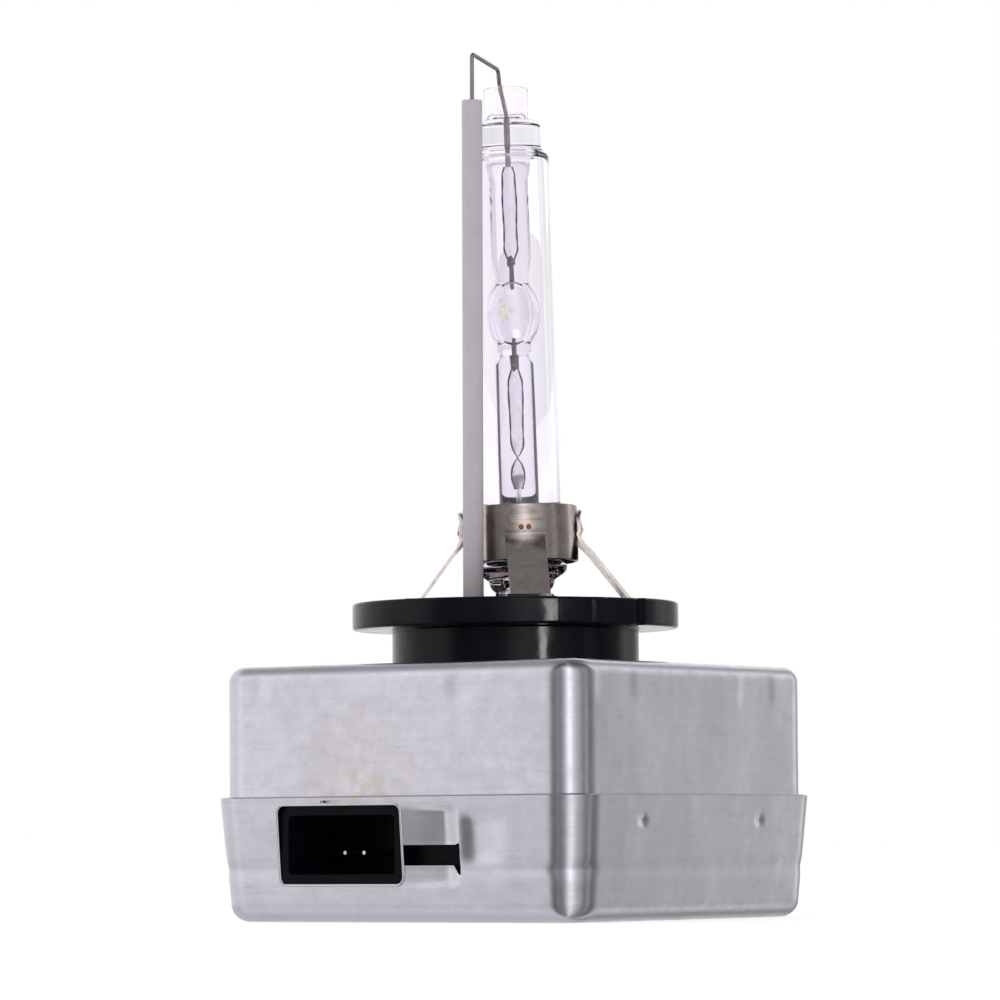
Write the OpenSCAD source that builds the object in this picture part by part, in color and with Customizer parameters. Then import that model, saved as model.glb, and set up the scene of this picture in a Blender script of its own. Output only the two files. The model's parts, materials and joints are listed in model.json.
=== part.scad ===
// Xenon gas-discharge headlight bulb with its igniter in the base.
// Frame: +Z is the lamp axis, the origin is the middle of the flange's front face,
// the case sides lie along X and Y, and the connector socket opens to -Y.

/* [Burner] */
// Height of the middle of the arc above the flange face
arc_height = 27.7; // [25:0.1:34]
// Gap between the two electrode tips
arc_gap = 4.2; // [3:0.1:5.2]
// Outer diameter of the protective glass jacket
jacket_d = 7.9; // [6.5:0.1:9.4]
// Wall of the glass jacket
jacket_wall = 0.9; // [0.7:0.05:1.1]
// Height of the jacket's shoulder above the middle of the arc
jacket_rise = 15.7; // [15.2:0.1:19]
// Outer diameter of the discharge vessel's bulge
vessel_d = 5.1; // [4.2:0.1:5.8]
// Length of the discharge vessel's bulge
vessel_length = 7.2; // [6:0.1:8.6]
// Outer diameter of the vessel's two stems
stem_d = 4.3; // [3.6:0.1:5.2]
// Open stub of the upper stem above the jacket
stub_height = 3.25; // [2:0.05:5]
// Diameter of the electrode rods
electrode_d = 0.36; // [0.25:0.01:0.5]
// Direction that the foils lie along, in degrees from +X
foil_turn = 34; // [-90:1:90]
// Tilt of the burner about the arc, which is set when its clamp is welded
burner_lean = 1.8; // [0:0.1:2]

/* [Return lead] */
// Outer diameter of the ceramic tube over the return lead
ceramic_d = 1.95; // [1.6:0.05:2.4]
// Height of the ceramic tube's top above the middle of the arc
ceramic_rise = 19.95; // [17:0.05:22]
// Distance of the ceramic tube from the lamp axis
ceramic_offset = 7.3; // [6.9:0.1:8.6]
// Diameter of the return lead
lead_d = 0.4; // [0.3:0.02:0.5]
// Height of the lead's loop above the ceramic tube's top
loop_height = 4.5; // [3:0.1:6]

/* [Clamp] */
// Outer diameter of the clamp band
band_d = 11; // [10.6:0.1:13]
// Height of the clamp band
band_height = 5.35; // [4:0.05:6.5]
// Height of the band's lower edge above the flange face
band_base = 3.8; // [3.4:0.1:5]
// Sheet thickness of the band and the legs
band_sheet = 0.3; // [0.2:0.05:0.4]
// Width of each support leg
leg_width = 3.8; // [3:0.1:4.4]
// Distance of the legs' feet from the burner axis
leg_root = 10.4; // [9.8:0.1:11.2]
// Direction of the first leg, in degrees from +X
leg_angle = -51.5; // [-60:0.5:-40]

/* [Base] */
// Diameter of the locating flange
flange_d = 31.2; // [26:0.1:38]
// Thickness of the locating flange
flange_t = 2.55; // [2.4:0.05:3.2]
// Diameter of the neck below the flange
neck_d = 23.6; // [19.4:0.1:25.5]
// Height of the neck between the flange and the case
neck_height = 3.6; // [2.5:0.1:6]
// Depth of the recesses in the flange's rim
rim_recess = 0.6; // [0.3:0.1:1]

/* [Case] */
// Side of the square upper can
case_side = 40.8; // [34:0.1:49]
// Height of the whole case
case_height = 24; // [20:0.1:29]
// Height of the lower cover
cover_height = 11.7; // [9.7:0.1:14.1]
// How far the cover's rim flares out past its floor, on each side
cover_flare = 0.8; // [0.5:0.05:1]
// Thickness of the sheet metal
sheet = 0.5; // [0.3:0.05:0.6]
// Radius of the can's upright corners
corner_r = 3; // [2.4:0.1:4]
// Radius of the can's top edges
top_edge_r = 1.5; // [0.9:0.1:2.2]
// Radius of the cover's bottom edges
floor_edge_r = 1.8; // [1:0.1:2.2]

/* [Connector] */
// Width of the socket's mouth
socket_w = 13.9; // [11.6:0.1:16.6]
// Height of the socket's mouth
socket_h = 7.2; // [6.4:0.1:8]
// Wall of the socket
socket_wall = 0.85; // [0.7:0.05:1.1]
// Depth of the socket's cavity
socket_depth = 8.2; // [7:0.1:9]
// Sideways place of the socket's middle
socket_x = -5.8; // [-7:0.1:-4]
// Distance between the two contact pins
pin_pitch = 2.2; // [2:0.1:2.6]
// Diameter of the contact pins
pin_d = 0.64; // [0.5:0.02:0.9]

/* [Igniter] */
// Thickness of the circuit board
board_t = 1.2; // [0.8:0.1:1.6]
// Outer diameter of the transformer bobbin's cheeks
bobbin_d = 11; // [9.4:0.1:11.4]
// Length of the transformer bobbin
bobbin_length = 24; // [20:0.5:25]
// Diameter of the ferrite core
core_d = 4.6; // [3.9:0.1:5.4]
// Diameter of the spark gap
spark_gap_d = 7.6; // [6.4:0.1:8]
// Width of the storage capacitor
capacitor_w = 10.5; // [8:0.1:11]
// Depth of the storage capacitor
capacitor_d = 5.8; // [4.5:0.1:6.4]
// Height of the storage capacitor
capacitor_h = 9.5; // [7:0.1:11]

/* [Hidden] */

$fn = 48;
// Segments of the curves inside a hull, and the thickness of the discs that it joins
hull_fn = 32;
disc = 0.02;
// Overrun of a cutter past the face that it opens
cut = 1;
// Gap between pieces that are fused, welded or pressed together
seat = 0.02;
// Gap round a piece that drops into its place
slip = 0.1;

// Burner: the tilt turns about this height
pivot_z = arc_height - 0.7;
jacket_r = jacket_d / 2;
jacket_bore = jacket_r - jacket_wall;
jacket_top = arc_height + jacket_rise;
stem_r = stem_d / 2;
vessel_r = vessel_d / 2;
vessel_wall = 1.05;
neck_r_top = jacket_r - 0.7;
shoulder_h = 0.6;
seal_top = jacket_top + shoulder_h + 2.4;
stub_top = seal_top + stub_height;
stub_bore = stem_r - 0.75;
jacket_foot = 0.9;
foot_r = jacket_r - 0.8;
bulge_r = jacket_r + 0.45;
bulge_z = [jacket_foot + 1.6, jacket_foot + 3.4];
bulge_end = jacket_foot + 4.8;
pinch_r = stem_r - 0.45;
pinch_ends = [bulge_end + 2.6, jacket_top - 2];
stem_foot = -8;
foil_length = [12, 9.4];
foil_width = 1.1;
foil_t = 0.12;
electrode_reach = [3, 2.9];
tip_low = arc_height - arc_gap / 2;
tip_high = arc_height + arc_gap / 2;
foil_low = [tip_low - electrode_reach[0] - foil_length[0], tip_low - electrode_reach[0]];
foil_high = [tip_high + electrode_reach[1], tip_high + electrode_reach[1] + foil_length[1]];
coil_wire = 0.08;
coil_d = electrode_d + 2 * coil_wire;
coil_top = arc_height - vessel_length / 2 - 0.2;
coil_low = foil_low[1] + 0.1;
salt_r = 0.34;

ceramic_top = arc_height + ceramic_rise;

// Clamp
band_r = band_d / 2;
spring_sheet = 0.2;
spring_waves = 8;
spring_points = 96;
spring_inset = 0.25;
leg_count = 4;
leg_meet_z = band_base + 1.9;
leg_bend_z = 0.8;
leg_foot_z = -1.9;
tab_r = band_r + seat;
tab_top = band_base + band_height - 0.35;
boss_rise = 0.4;
boss_length = 2.6;
boss_width = leg_width + 0.9;

// Base
case_r = case_side / 2;
flange_r = flange_d / 2;
neck_r = neck_d / 2;
flange_chamfer = 0.3;
dish_depth = 0.5;
dish_r = leg_root + 1;
deck_low = -flange_t;
ceiling = deck_low - 0.45;
neck_wall = 2;
can_top = -(flange_t + neck_height);
roof_top = can_top - sheet - 0.15;
roof_t = 1.5;
roof_low = roof_top - roof_t;
recess_spans = [[-40.5, 36.3], [113, 20]];
roof_r = case_r - top_edge_r - slip;
sleeve_wall = 0.8;
ceramic_low = roof_low - 0.4;
ceramic_bore = lead_d / 2 + 0.15;
insulator_r = stem_r + 1.85;
insulator_bore = stem_r + 0.45;
insulator_collar = stem_r + 2.7;
insulator_top = -dish_depth - 0.1;
insulator_low = stem_foot - 4.2;
collar_h = 1.2;
contact_top = stem_foot - 0.5;
lower_lead_end = contact_top - 2.4;

// Case
case_floor = can_top - case_height;
cover_rim = case_floor + cover_height;
rim_clear = 0.25;
can_gap = 0.05;
cover_slope = cover_flare / (cover_height - floor_edge_r);
skirt_overlap = (rim_clear - can_gap) / cover_slope;
skirt_low = cover_rim - skirt_overlap;
rim_r = case_r + rim_clear + sheet;
floor_r = rim_r - cover_flare;
rim_corner = corner_r + 0.4;
housing_gap = 0.7;
housing_r = floor_r - sheet - housing_gap;
housing_wall = 1.2;
housing_in = housing_r - housing_wall;
housing_corner = corner_r - 0.4;
housing_floor = case_floor + sheet + 0.3;
housing_deck = housing_floor + housing_wall;
housing_top = roof_low - slip;

// Connector: the mouth stands level with the cover's outer face
socket_z = case_floor + 7.2;
socket_low = socket_z - socket_h / 2;
socket_corner = 0.9;
socket_face = 0.25 - cover_r(socket_z);
socket_back = socket_face + socket_depth;
pin_tip = socket_face + 3.9;
pin_z = socket_z - 0.75;
pin_x = [socket_x - 1.3 - pin_pitch / 2, socket_x - 1.3 + pin_pitch / 2];
pin_drop = 1.6;
latch_w = 6.1;
latch_h = 1.9;
latch_z = socket_z - 1;

// Igniter parts, placed from the housing's walls
board_r = housing_in - 0.4;
board_low = housing_deck + 1.2;
board_top = board_low + board_t;
board_edge = socket_back + socket_wall + 0.9;
post_r = 1.2;
post_x = board_r - 2.4;
post_y = [board_edge + 2.4, board_r - 2.4];
bobbin_r = bobbin_d / 2;
core_r = core_d / 2;
transformer_y = housing_in - bobbin_r - 1.2;
transformer_z = board_top + bobbin_r + 0.6;
cheek_t = 1;
chambers = 5;
tube_r = core_r + 0.9;
chamber_w = (bobbin_length - cheek_t * (chambers + 1)) / chambers;
winding_r = bobbin_r - 0.9;
primary_r = winding_r - 0.8;
core_length = bobbin_length + 2;
spark_gap_length = 5;
spark_cap_t = 0.8;
spark_gap_x = -(housing_in - spark_gap_d / 2 - 1);
spark_gap_y = board_edge + spark_gap_length / 2 + 2.6;
capacitor_x = housing_in - capacitor_w - 1;
capacitor_y = board_edge + 0.9;
resistor_d = 1.9;
resistor_h = 6;
resistor_x = -3.4;
resistor_y = [board_edge + 2.1, board_edge + 5.3];
terminal_w = 2;
terminal_t = 0.4;
terminal_y = -ceramic_offset - lead_d / 2 - terminal_t / 2 - seat;
lead_low = ceramic_low - 2;
terminal_top = lead_low + 1.2;
tab_w = 2.6;
tab_z = board_top + 2.2;
tab_t = 0.3;
tab_foot = board_r - 1.6;
window_gap = 0.4;
pot_top = transformer_z - 0.6;

// A burner part leans about the pivot, towards -X
module in_burner() {
    translate([0, 0, pivot_z]) rotate([0, -burner_lean, 0]) translate([0, 0, -pivot_z]) children();
}

// Distance from the axis to the cover's outer face at height z
function cover_r(z) = rim_r - cover_slope * (cover_rim - z);

// Where the burner's axis stands at height z
function lean_x(z) = (pivot_z - z) * tan(burner_lean);

// A point of the burner, put into the lamp's frame
function leaned(p) = [
    p[0] * cos(burner_lean) - (p[2] - pivot_z) * sin(burner_lean),
    p[1],
    pivot_z + p[0] * sin(burner_lean) + (p[2] - pivot_z) * cos(burner_lean)
];

function unit(v) = v / norm(v);
function last(list) = list[len(list) - 1];

// A route through points, with each corner rounded over the length r on both sides
function rounded(p, r, steps = 4) = concat(
    [p[0]],
    [for (i = [1:len(p) - 2], k = [0:steps])
        let (t = k / steps, a = p[i] + r * unit(p[i - 1] - p[i]), b = p[i] + r * unit(p[i + 1] - p[i]))
        (1 - t) * (1 - t) * a + 2 * t * (1 - t) * p[i] + t * t * b],
    [last(p)]
);

// A round wire swept along a route that never runs parallel to side
module wire(route, d, side = [1, 0, 0], sides = 10) {
    n = len(route);
    ring = [for (i = [0:n - 1])
        let (t = unit(route[min(i + 1, n - 1)] - route[max(i - 1, 0)]),
             u = unit(cross(t, side)), v = cross(t, u))
        for (k = [0:sides - 1]) route[i] + d / 2 * (cos(360 * k / sides) * u + sin(360 * k / sides) * v)];
    skin = [for (i = [0:n - 2], k = [0:sides - 1])
        let (a = i * sides + k, b = i * sides + (k + 1) % sides)
        each [[a, b, b + sides], [a, b + sides, a + sides]]];
    ends = [[for (k = [sides - 1:-1:0]) k], [for (k = [0:sides - 1]) (n - 1) * sides + k]];
    polyhedron(ring, concat(skin, ends), convexity = 6);
}

// A square with rounded corners, r from its middle to each side
module plate(r, corner) {
    square([2 * r, 2 * (r - corner)], center = true);
    square([2 * (r - corner), 2 * r], center = true);
    for (x = [-1, 1], y = [-1, 1]) translate([x * (r - corner), y * (r - corner)]) circle(corner);
}

// One disc at each corner of a square, which a hull joins
module corner_discs(r, corner, radius, z) {
    for (x = [-1, 1], y = [-1, 1])
        translate([x * (r - corner), y * (r - corner), z]) cylinder(r = radius, h = disc, $fn = hull_fn);
}

// A bar of rectangular section with rounded edges along Y, w wide and h high
module slot_bar(w, h, r, length) {
    rotate([90, 0, 0]) linear_extrude(length, center = true) {
        square([w, h - 2 * r], center = true);
        square([w - 2 * r, h], center = true);
        for (x = [-1, 1], y = [-1, 1]) translate([x * (w / 2 - r), y * (h / 2 - r)]) circle(r);
    }
}

// Points of an upright half ellipse, from its foot to its top
function oval(r, half, z, steps = 20) = [
    for (i = [0:steps]) let (a = -90 + 180 * i / steps) [r * cos(a), z + half * sin(a)]
];

// Quarter of a round edge, from angle a0 to a1
function arc_points(cx, cz, r, a0, a1, steps = 6) = [
    for (i = [0:steps]) let (a = a0 + (a1 - a0) * i / steps) [cx + r * cos(a), cz + r * sin(a)]
];

// The glass sleeve: necked in on top, with a thick rolled foot, fused to both stems
module outer_bulb() {
    color("lavender", 0.35) in_burner() rotate_extrude() difference() {
        polygon(concat(
            [[0, jacket_foot]],
            arc_points(foot_r, jacket_foot + 1.2, 1.2, -80, 0),
            [[bulge_r, bulge_z[0]], [bulge_r, bulge_z[1]], [jacket_r, bulge_end]],
            arc_points(jacket_r - shoulder_h, jacket_top - shoulder_h, shoulder_h, 0, 60),
            [[neck_r_top, jacket_top + shoulder_h]],
            arc_points(neck_r_top - 0.5, seal_top - 0.5, 0.5, 0, 90),
            [[0, seal_top]]
        ));
        polygon([
            [0, bulge_end], [jacket_bore - 0.7, bulge_end], [jacket_bore, bulge_end + 1],
            [jacket_bore, jacket_top - 1.4], [jacket_bore - 0.9, jacket_top - 0.4], [0, jacket_top - 0.4]
        ]);
        translate([0, jacket_foot - cut]) square([stem_r + seat, seal_top - jacket_foot + 2 * cut]);
    }
}

// The discharge vessel with its two pinched stems, and the open stub on top
module arc_tube() {
    half = vessel_length / 2;
    color("white", 0.4) in_burner() difference() {
        rotate_extrude() polygon(concat(
            [[0, stem_foot], [stem_r, stem_foot], [stem_r, pinch_ends[0] - 1],
             [pinch_r, pinch_ends[0]], [pinch_r, arc_height - half - 1]],
            [for (p = oval(vessel_r, half, arc_height)) if (p[0] > pinch_r * 0.7) p],
            [[pinch_r, arc_height + half + 1], [pinch_r, pinch_ends[1]], [stem_r, pinch_ends[1] + 1],
             [stem_r, stub_top], [0, stub_top]]
        ));
        rotate_extrude() polygon(oval(vessel_r - vessel_wall, half - 0.5, arc_height, 16));
        translate([0, 0, seal_top]) cylinder(r = stub_bore, h = stub_height + cut);
        translate([0, 0, stem_foot - cut]) cylinder(r = stub_bore, h = jacket_foot - stem_foot + 4 * cut);
        rod_hole(foil_high[1] - 0.5, seal_top + cut, lead_d);
        rod_hole(jacket_foot, foil_low[0] + 0.5, lead_d);
        rod_hole(foil_low[1] - 0.5, arc_height, coil_d);
        rod_hole(arc_height, foil_high[0] + 0.5, electrode_d);
        for (z = [foil_low, foil_high]) foil(z, seat);
    }
}

module rod_hole(z0, z1, d) {
    translate([0, 0, z0]) cylinder(d = d + 2 * seat, h = z1 - z0);
}

module upper_electrode() {
    color("dimgray") in_burner() translate([0, 0, tip_high])
        cylinder(d = electrode_d, h = foil_high[0] - tip_high - seat);
}

module lower_electrode() {
    color("dimgray") in_burner() translate([0, 0, foil_low[1] + seat])
        cylinder(d = electrode_d, h = tip_low - foil_low[1] - seat);
}

// Overwind that centres the lower electrode in its stem
module electrode_coil() {
    color("gray") in_burner() translate([0, 0, coil_low]) difference() {
        cylinder(d = coil_d, h = coil_top - coil_low);
        translate([0, 0, -cut]) cylinder(d = electrode_d + 2 * seat, h = coil_top - coil_low + 2 * cut);
    }
}

module foil(z, gap) {
    rotate([0, 0, foil_turn]) translate([-foil_width / 2 - gap, -foil_t / 2 - gap, z[0] - gap])
        cube([foil_width + 2 * gap, foil_t + 2 * gap, z[1] - z[0] + 2 * gap]);
}

module upper_foil() {
    color("slategray") in_burner() foil(foil_high, 0);
}

module lower_foil() {
    color("slategray") in_burner() foil(foil_low, 0);
}

// Grains of metal halide that have settled on the vessel's wall
module halide_salts() {
    cavity_r = vessel_r - vessel_wall;
    color("khaki") in_burner() for (g = [[-120, 1.1], [-95, 0.5], [-105, -0.5], [-60, 0.2]])
        rotate([0, 0, g[0]]) translate([cavity_r - salt_r - 0.12, 0, arc_height + g[1]]) sphere(salt_r);
}

module lower_lead() {
    color("silver") in_burner() translate([0, 0, lower_lead_end])
        cylinder(d = lead_d, h = foil_low[0] - seat - lower_lead_end);
}

// One wire from the upper foil, out of the stub and down through the ceramic tube
module return_lead() {
    foot = leaned([0, 0, foil_high[1] + seat]);
    seal = leaned([0, 0, seal_top + 0.4]);
    edge = leaned([-0.2, -stub_bore / 2, stub_top + 0.2]);
    peak = ceramic_top + loop_height;
    crook = [edge[0] * 0.8, edge[1] - 0.7, stub_top + (peak - stub_top) * 0.62];
    color("gray") wire(rounded([
        foot, seal, edge, crook, [0, -ceramic_offset, peak],
        [0, -ceramic_offset, ceramic_top], [0, -ceramic_offset, lead_low]
    ], 0.45), lead_d);
}

module ceramic_tube() {
    color("gainsboro") translate([0, -ceramic_offset, ceramic_low]) difference() {
        cylinder(d = ceramic_d, h = ceramic_top - ceramic_low);
        translate([0, 0, -cut]) cylinder(r = ceramic_bore, h = ceramic_top - ceramic_low + 2 * cut);
    }
}

// The band that the legs are welded to, split at the back
module clamp_band() {
    color("silver") in_burner() translate([0, 0, band_base]) difference() {
        cylinder(r = band_r, h = band_height);
        translate([0, 0, -cut]) cylinder(r = band_r - band_sheet, h = band_height + 2 * cut);
        rotate([0, 0, leg_angle + 225]) translate([band_r - cut, -0.15, -cut])
            cube([2 * cut, 0.3, band_height + 2 * cut]);
    }
}

// A wavy spring strip between the glass and the band
function wave_r(a, side) =
    let (low = jacket_r + seat, high = band_r - band_sheet - seat - spring_sheet,
         mid = (low + high) / 2, swing = (high - low) / 2)
    mid + swing * cos(spring_waves * a) + side;

module clamp_spring() {
    low = max(band_base + spring_inset, bulge_end + slip);
    h = band_base + band_height - spring_inset - low;
    color("gray") in_burner() translate([0, 0, low]) linear_extrude(h) difference() {
        polygon([for (i = [0:spring_points - 1]) let (a = 360 * i / spring_points)
            wave_r(a, spring_sheet) * [cos(a), sin(a)]]);
        polygon([for (i = [0:spring_points - 1]) let (a = 360 * i / spring_points)
            wave_r(a, 0) * [cos(a), sin(a)]]);
    }
}

// A strip of the leg between two places [distance from the axis, height]
module leg_strip(a, b) {
    angle = atan2(b[1] - a[1], b[0] - a[0]);
    translate([a[0], 0, a[1]]) rotate([0, -angle, 0])
        translate([0, -leg_width / 2, -band_sheet / 2]) cube([norm(b - a), leg_width, band_sheet]);
}

// Foot, leaning strip and the curved tab that lies on the band, with a round tip
module leg() {
    mid_r = tab_r + band_sheet / 2;
    tip_z = tab_top - leg_width / 2;
    translate([leg_root - band_sheet / 2, -leg_width / 2, leg_foot_z])
        cube([band_sheet, leg_width, leg_bend_z - leg_foot_z]);
    leg_strip([leg_root, leg_bend_z], [mid_r, leg_meet_z]);
    intersection() {
        translate([0, 0, leg_meet_z]) difference() {
            cylinder(r = tab_r + band_sheet, h = band_height);
            translate([0, 0, -cut]) cylinder(r = tab_r, h = band_height + 2 * cut);
        }
        union() {
            translate([0, 0, tip_z]) rotate([0, 90, 0]) cylinder(r = leg_width / 2, h = 2 * band_r);
            translate([0, -leg_width / 2, 0]) cube([2 * band_r, leg_width, tip_z]);
        }
    }
}

module support_legs() {
    color("darkgray") in_burner() for (i = [0:leg_count - 1])
        rotate([0, 0, leg_angle + 360 * i / leg_count]) leg();
}

module leg_slot() {
    translate([leg_root - band_sheet / 2 - seat, -leg_width / 2 - seat, leg_foot_z - seat])
        cube([band_sheet + 2 * seat, leg_width + 2 * seat, boss_rise - leg_foot_z + cut]);
}

module leg_boss() {
    translate([leg_root - boss_length / 2, -boss_width / 2, deck_low])
        cube([boss_length, boss_width, boss_rise - deck_low]);
}

// Moulded flange, neck and roof plate in one piece
module base_flange() {
    deck_x = lean_x(0);
    color("#17161a") difference() {
        union() {
            difference() {
                rotate_extrude() polygon([
                    [0, 0], [flange_r - flange_chamfer, 0], [flange_r, -flange_chamfer],
                    [flange_r, deck_low + flange_chamfer], [flange_r - flange_chamfer, deck_low],
                    [neck_r, deck_low], [neck_r, roof_low], [0, roof_low]
                ]);
                translate([0, 0, -dish_depth]) cylinder(r = dish_r, h = dish_depth + cut);
            }
            translate([0, 0, roof_low]) linear_extrude(roof_t) plate(roof_r, housing_corner);
            intersection() {
                translate([deck_x, 0, 0]) for (i = [0:leg_count - 1])
                    rotate([0, 0, leg_angle + 360 * i / leg_count]) leg_boss();
                translate([0, 0, deck_low]) cylinder(r = dish_r - seat, h = boss_rise - deck_low);
            }
        }
        translate([0, 0, roof_low - cut]) difference() {
            cylinder(r = neck_r - neck_wall, h = ceiling - roof_low + cut);
            translate([0, -ceramic_offset, 0])
                cylinder(r = ceramic_d / 2 + slip + sleeve_wall, h = ceiling - roof_low + cut);
        }
        translate([lean_x(deck_low), 0, ceiling - cut])
            cylinder(r = insulator_r + slip, h = 2 * cut - ceiling);
        translate([0, -ceramic_offset, roof_low - 2 * cut])
            cylinder(r = ceramic_d / 2 + seat, h = flange_t - roof_low + 4 * cut);
        in_burner() for (i = [0:leg_count - 1]) rotate([0, 0, leg_angle + 360 * i / leg_count]) leg_slot();
        for (s = recess_spans) rotate([0, 0, s[0]]) translate([0, 0, deck_low - cut])
            rotate_extrude(angle = s[1]) translate([flange_r - rim_recess, 0])
                square([rim_recess + cut, flange_t + 2 * cut]);
    }
}

// Sleeve that carries the lower stem and keeps the high voltage off the case
module hv_insulator() {
    collar_top = ceiling - seat;
    color("ivory") translate([lean_x(deck_low), 0, 0]) difference() {
        union() {
            translate([0, 0, insulator_low]) cylinder(r = insulator_r, h = insulator_top - insulator_low);
            translate([0, 0, collar_top - collar_h]) cylinder(r = insulator_collar, h = collar_h);
        }
        translate([0, 0, insulator_low - cut])
            cylinder(r = insulator_bore, h = insulator_top - insulator_low + 2 * cut);
    }
}

module hv_contact() {
    color("goldenrod") translate([lean_x(deck_low), 0, insulator_low]) difference() {
        cylinder(r = insulator_bore - seat, h = contact_top - insulator_low);
        translate([0, 0, cut]) cylinder(d = 3 * lead_d, h = contact_top - insulator_low);
    }
}

// Insulated wire from the transformer's live end to the contact
module hv_lead() {
    start = [lean_x(deck_low), 0, insulator_low - seat];
    side_x = core_length / 2 + 1.2;
    color("firebrick") wire(rounded([
        start, start + [0, 0, -1.2], [side_x, transformer_y - 2, insulator_low - 2],
        [side_x, transformer_y, transformer_z], [core_length / 2 + seat, transformer_y, transformer_z]
    ], 0.5), 1, [0.2, -1, 0.1]);
}

// Deep-drawn upper half of the case, open below, with rounded top edges
module upper_can() {
    edge = top_edge_r;
    depth = can_top - skirt_low;
    color("silver") difference() {
        hull() {
            corner_discs(case_r, corner_r, corner_r, skirt_low);
            for (a = [0:18:90]) let (radius = corner_r - edge * (1 - cos(a)))
                corner_discs(case_r, corner_r, radius, can_top - edge * (1 - sin(a)) - disc);
        }
        translate([0, 0, skirt_low - cut]) linear_extrude(depth - edge + cut)
            plate(case_r - sheet, corner_r - sheet);
        translate([0, 0, skirt_low]) linear_extrude(depth - sheet) plate(case_r - edge, corner_r - edge);
        translate([0, 0, can_top - 2 * edge]) cylinder(r = neck_r + slip, h = 4 * edge);
        socket_opening(2 * slip, cover_rim - socket_low);
    }
}

// The way through both metal walls for the socket; drop runs it out of the skirt
module socket_opening(gap, drop) {
    translate([socket_x - socket_w / 2 - gap, -2 * case_r, socket_low - gap - drop])
        cube([socket_w + 2 * gap, case_r + 2 * sheet, socket_h + 2 * gap + drop]);
}

// Lower half of the case: a tray that flares out over the can's skirt
module cover_form(inset) {
    corner = corner_r - inset;
    edge = floor_edge_r - inset;
    z0 = case_floor + inset;
    top = cover_rim + (inset > 0 ? cut : 0);
    hull() {
        corner_discs(cover_r(top) - inset, rim_corner - inset, rim_corner - inset, top - disc);
        for (a = [0:18:90])
            corner_discs(floor_r - inset, corner, corner - edge + edge * cos(a), z0 + edge - edge * sin(a));
    }
}

module lower_cover() {
    latch_x = socket_x + socket_w / 2 + latch_w / 2;
    color("silver") difference() {
        cover_form(0);
        cover_form(sheet);
        translate([socket_x, -case_r - cut, socket_z])
            slot_bar(socket_w + 2 * slip, socket_h + 2 * slip, socket_corner, 4 * cut);
        translate([latch_x, -case_r - cut, latch_z]) cube([latch_w + cut, 4 * cut, latch_h], center = true);
    }
}

// Moulded box inside the case, with the socket grown into its front wall
module igniter_housing() {
    color("#1b1a1d") difference() {
        union() {
            difference() {
                translate([0, 0, housing_floor]) linear_extrude(housing_top - housing_floor)
                    plate(housing_r, housing_corner);
                translate([0, 0, housing_deck]) linear_extrude(housing_top - housing_deck + cut)
                    plate(housing_in, housing_corner - housing_wall);
            }
            translate([socket_x, (socket_face + socket_back + socket_wall) / 2, socket_z])
                slot_bar(socket_w, socket_h, socket_corner, socket_back + socket_wall - socket_face);
            for (x = [-post_x, post_x], y = post_y) translate([x, y, housing_deck - seat])
                cylinder(r = post_r, h = board_low - housing_deck);
        }
        translate([socket_x, socket_face + (socket_depth - cut) / 2, socket_z])
            slot_bar(socket_w - 2 * socket_wall, socket_h - 2 * socket_wall, socket_corner / 2,
                     socket_depth + cut);
        for (x = pin_x) translate([x, socket_back, pin_z]) rotate([90, 0, 0])
            cylinder(d = pin_d + 2 * seat, h = 4 * socket_wall, center = true);
        translate([housing_in, 0, tab_z]) cube([4 * housing_wall, tab_w + window_gap, 1], center = true);
    }
}

// Contact pins: straight through the socket's back wall, then down into the board
module connector_pins() {
    color("gold") pin_shapes(0);
}

module pin_shapes(gap) {
    bend_y = board_edge + pin_drop;
    for (x = pin_x) {
        translate([x, pin_tip, pin_z]) rotate([-90, 0, 0])
            cylinder(r = pin_d / 2 + gap, h = bend_y - pin_tip);
        translate([x, bend_y, pin_z]) sphere(pin_d / 2 + gap);
        translate([x, bend_y, board_low + seat])
            cylinder(r = pin_d / 2 + gap, h = pin_z - board_low - seat);
    }
}

module circuit_board() {
    color("darkgreen") difference() {
        translate([0, 0, board_low]) linear_extrude(board_t) plate(board_r, housing_corner - housing_wall);
        translate([-case_r, board_edge - 2 * case_r, board_low - cut])
            cube([2 * case_r, 2 * case_r, board_t + 2 * cut]);
        for (x = pin_x) translate([x, board_edge + pin_drop, board_low - cut])
            cylinder(d = pin_d + 2 * seat, h = board_t + 2 * cut);
    }
}

module along_x(length) {
    translate([-length / 2, transformer_y, transformer_z]) rotate([0, 90, 0]) children();
}

module transformer_core() {
    color("#3b3b40") along_x(core_length) cylinder(r = core_r, h = core_length);
}

// Sectioned bobbin: a tube with cheeks that part the chambers, on two feet
module transformer_bobbin() {
    color("wheat") {
        along_x(bobbin_length) difference() {
            union() {
                cylinder(r = tube_r, h = bobbin_length);
                for (i = [0:chambers])
                    translate([0, 0, i * (chamber_w + cheek_t)]) cylinder(r = bobbin_r, h = cheek_t);
            }
            translate([0, 0, -cut]) cylinder(r = core_r + seat, h = bobbin_length + 2 * cut);
        }
        bobbin_feet(0);
    }
}

module bobbin_feet(gap) {
    for (x = [-bobbin_length / 2, bobbin_length / 2 - cheek_t])
        translate([x - gap, transformer_y - bobbin_r / 2 - gap, board_top + seat - gap])
            cube([cheek_t + 2 * gap, bobbin_r + 2 * gap, transformer_z - board_top - tube_r]);
}

module winding(i, r0, r1) {
    along_x(bobbin_length) translate([0, 0, i * (chamber_w + cheek_t) + cheek_t + seat]) difference() {
        cylinder(r = r1, h = chamber_w - 2 * seat);
        translate([0, 0, -cut]) cylinder(r = r0, h = chamber_w + 2 * cut);
    }
}

// Fine high-voltage winding, one coil in each chamber but the first
module secondary_winding() {
    color("chocolate") for (i = [1:chambers - 1]) winding(i, tube_r + seat, winding_r);
}

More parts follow.
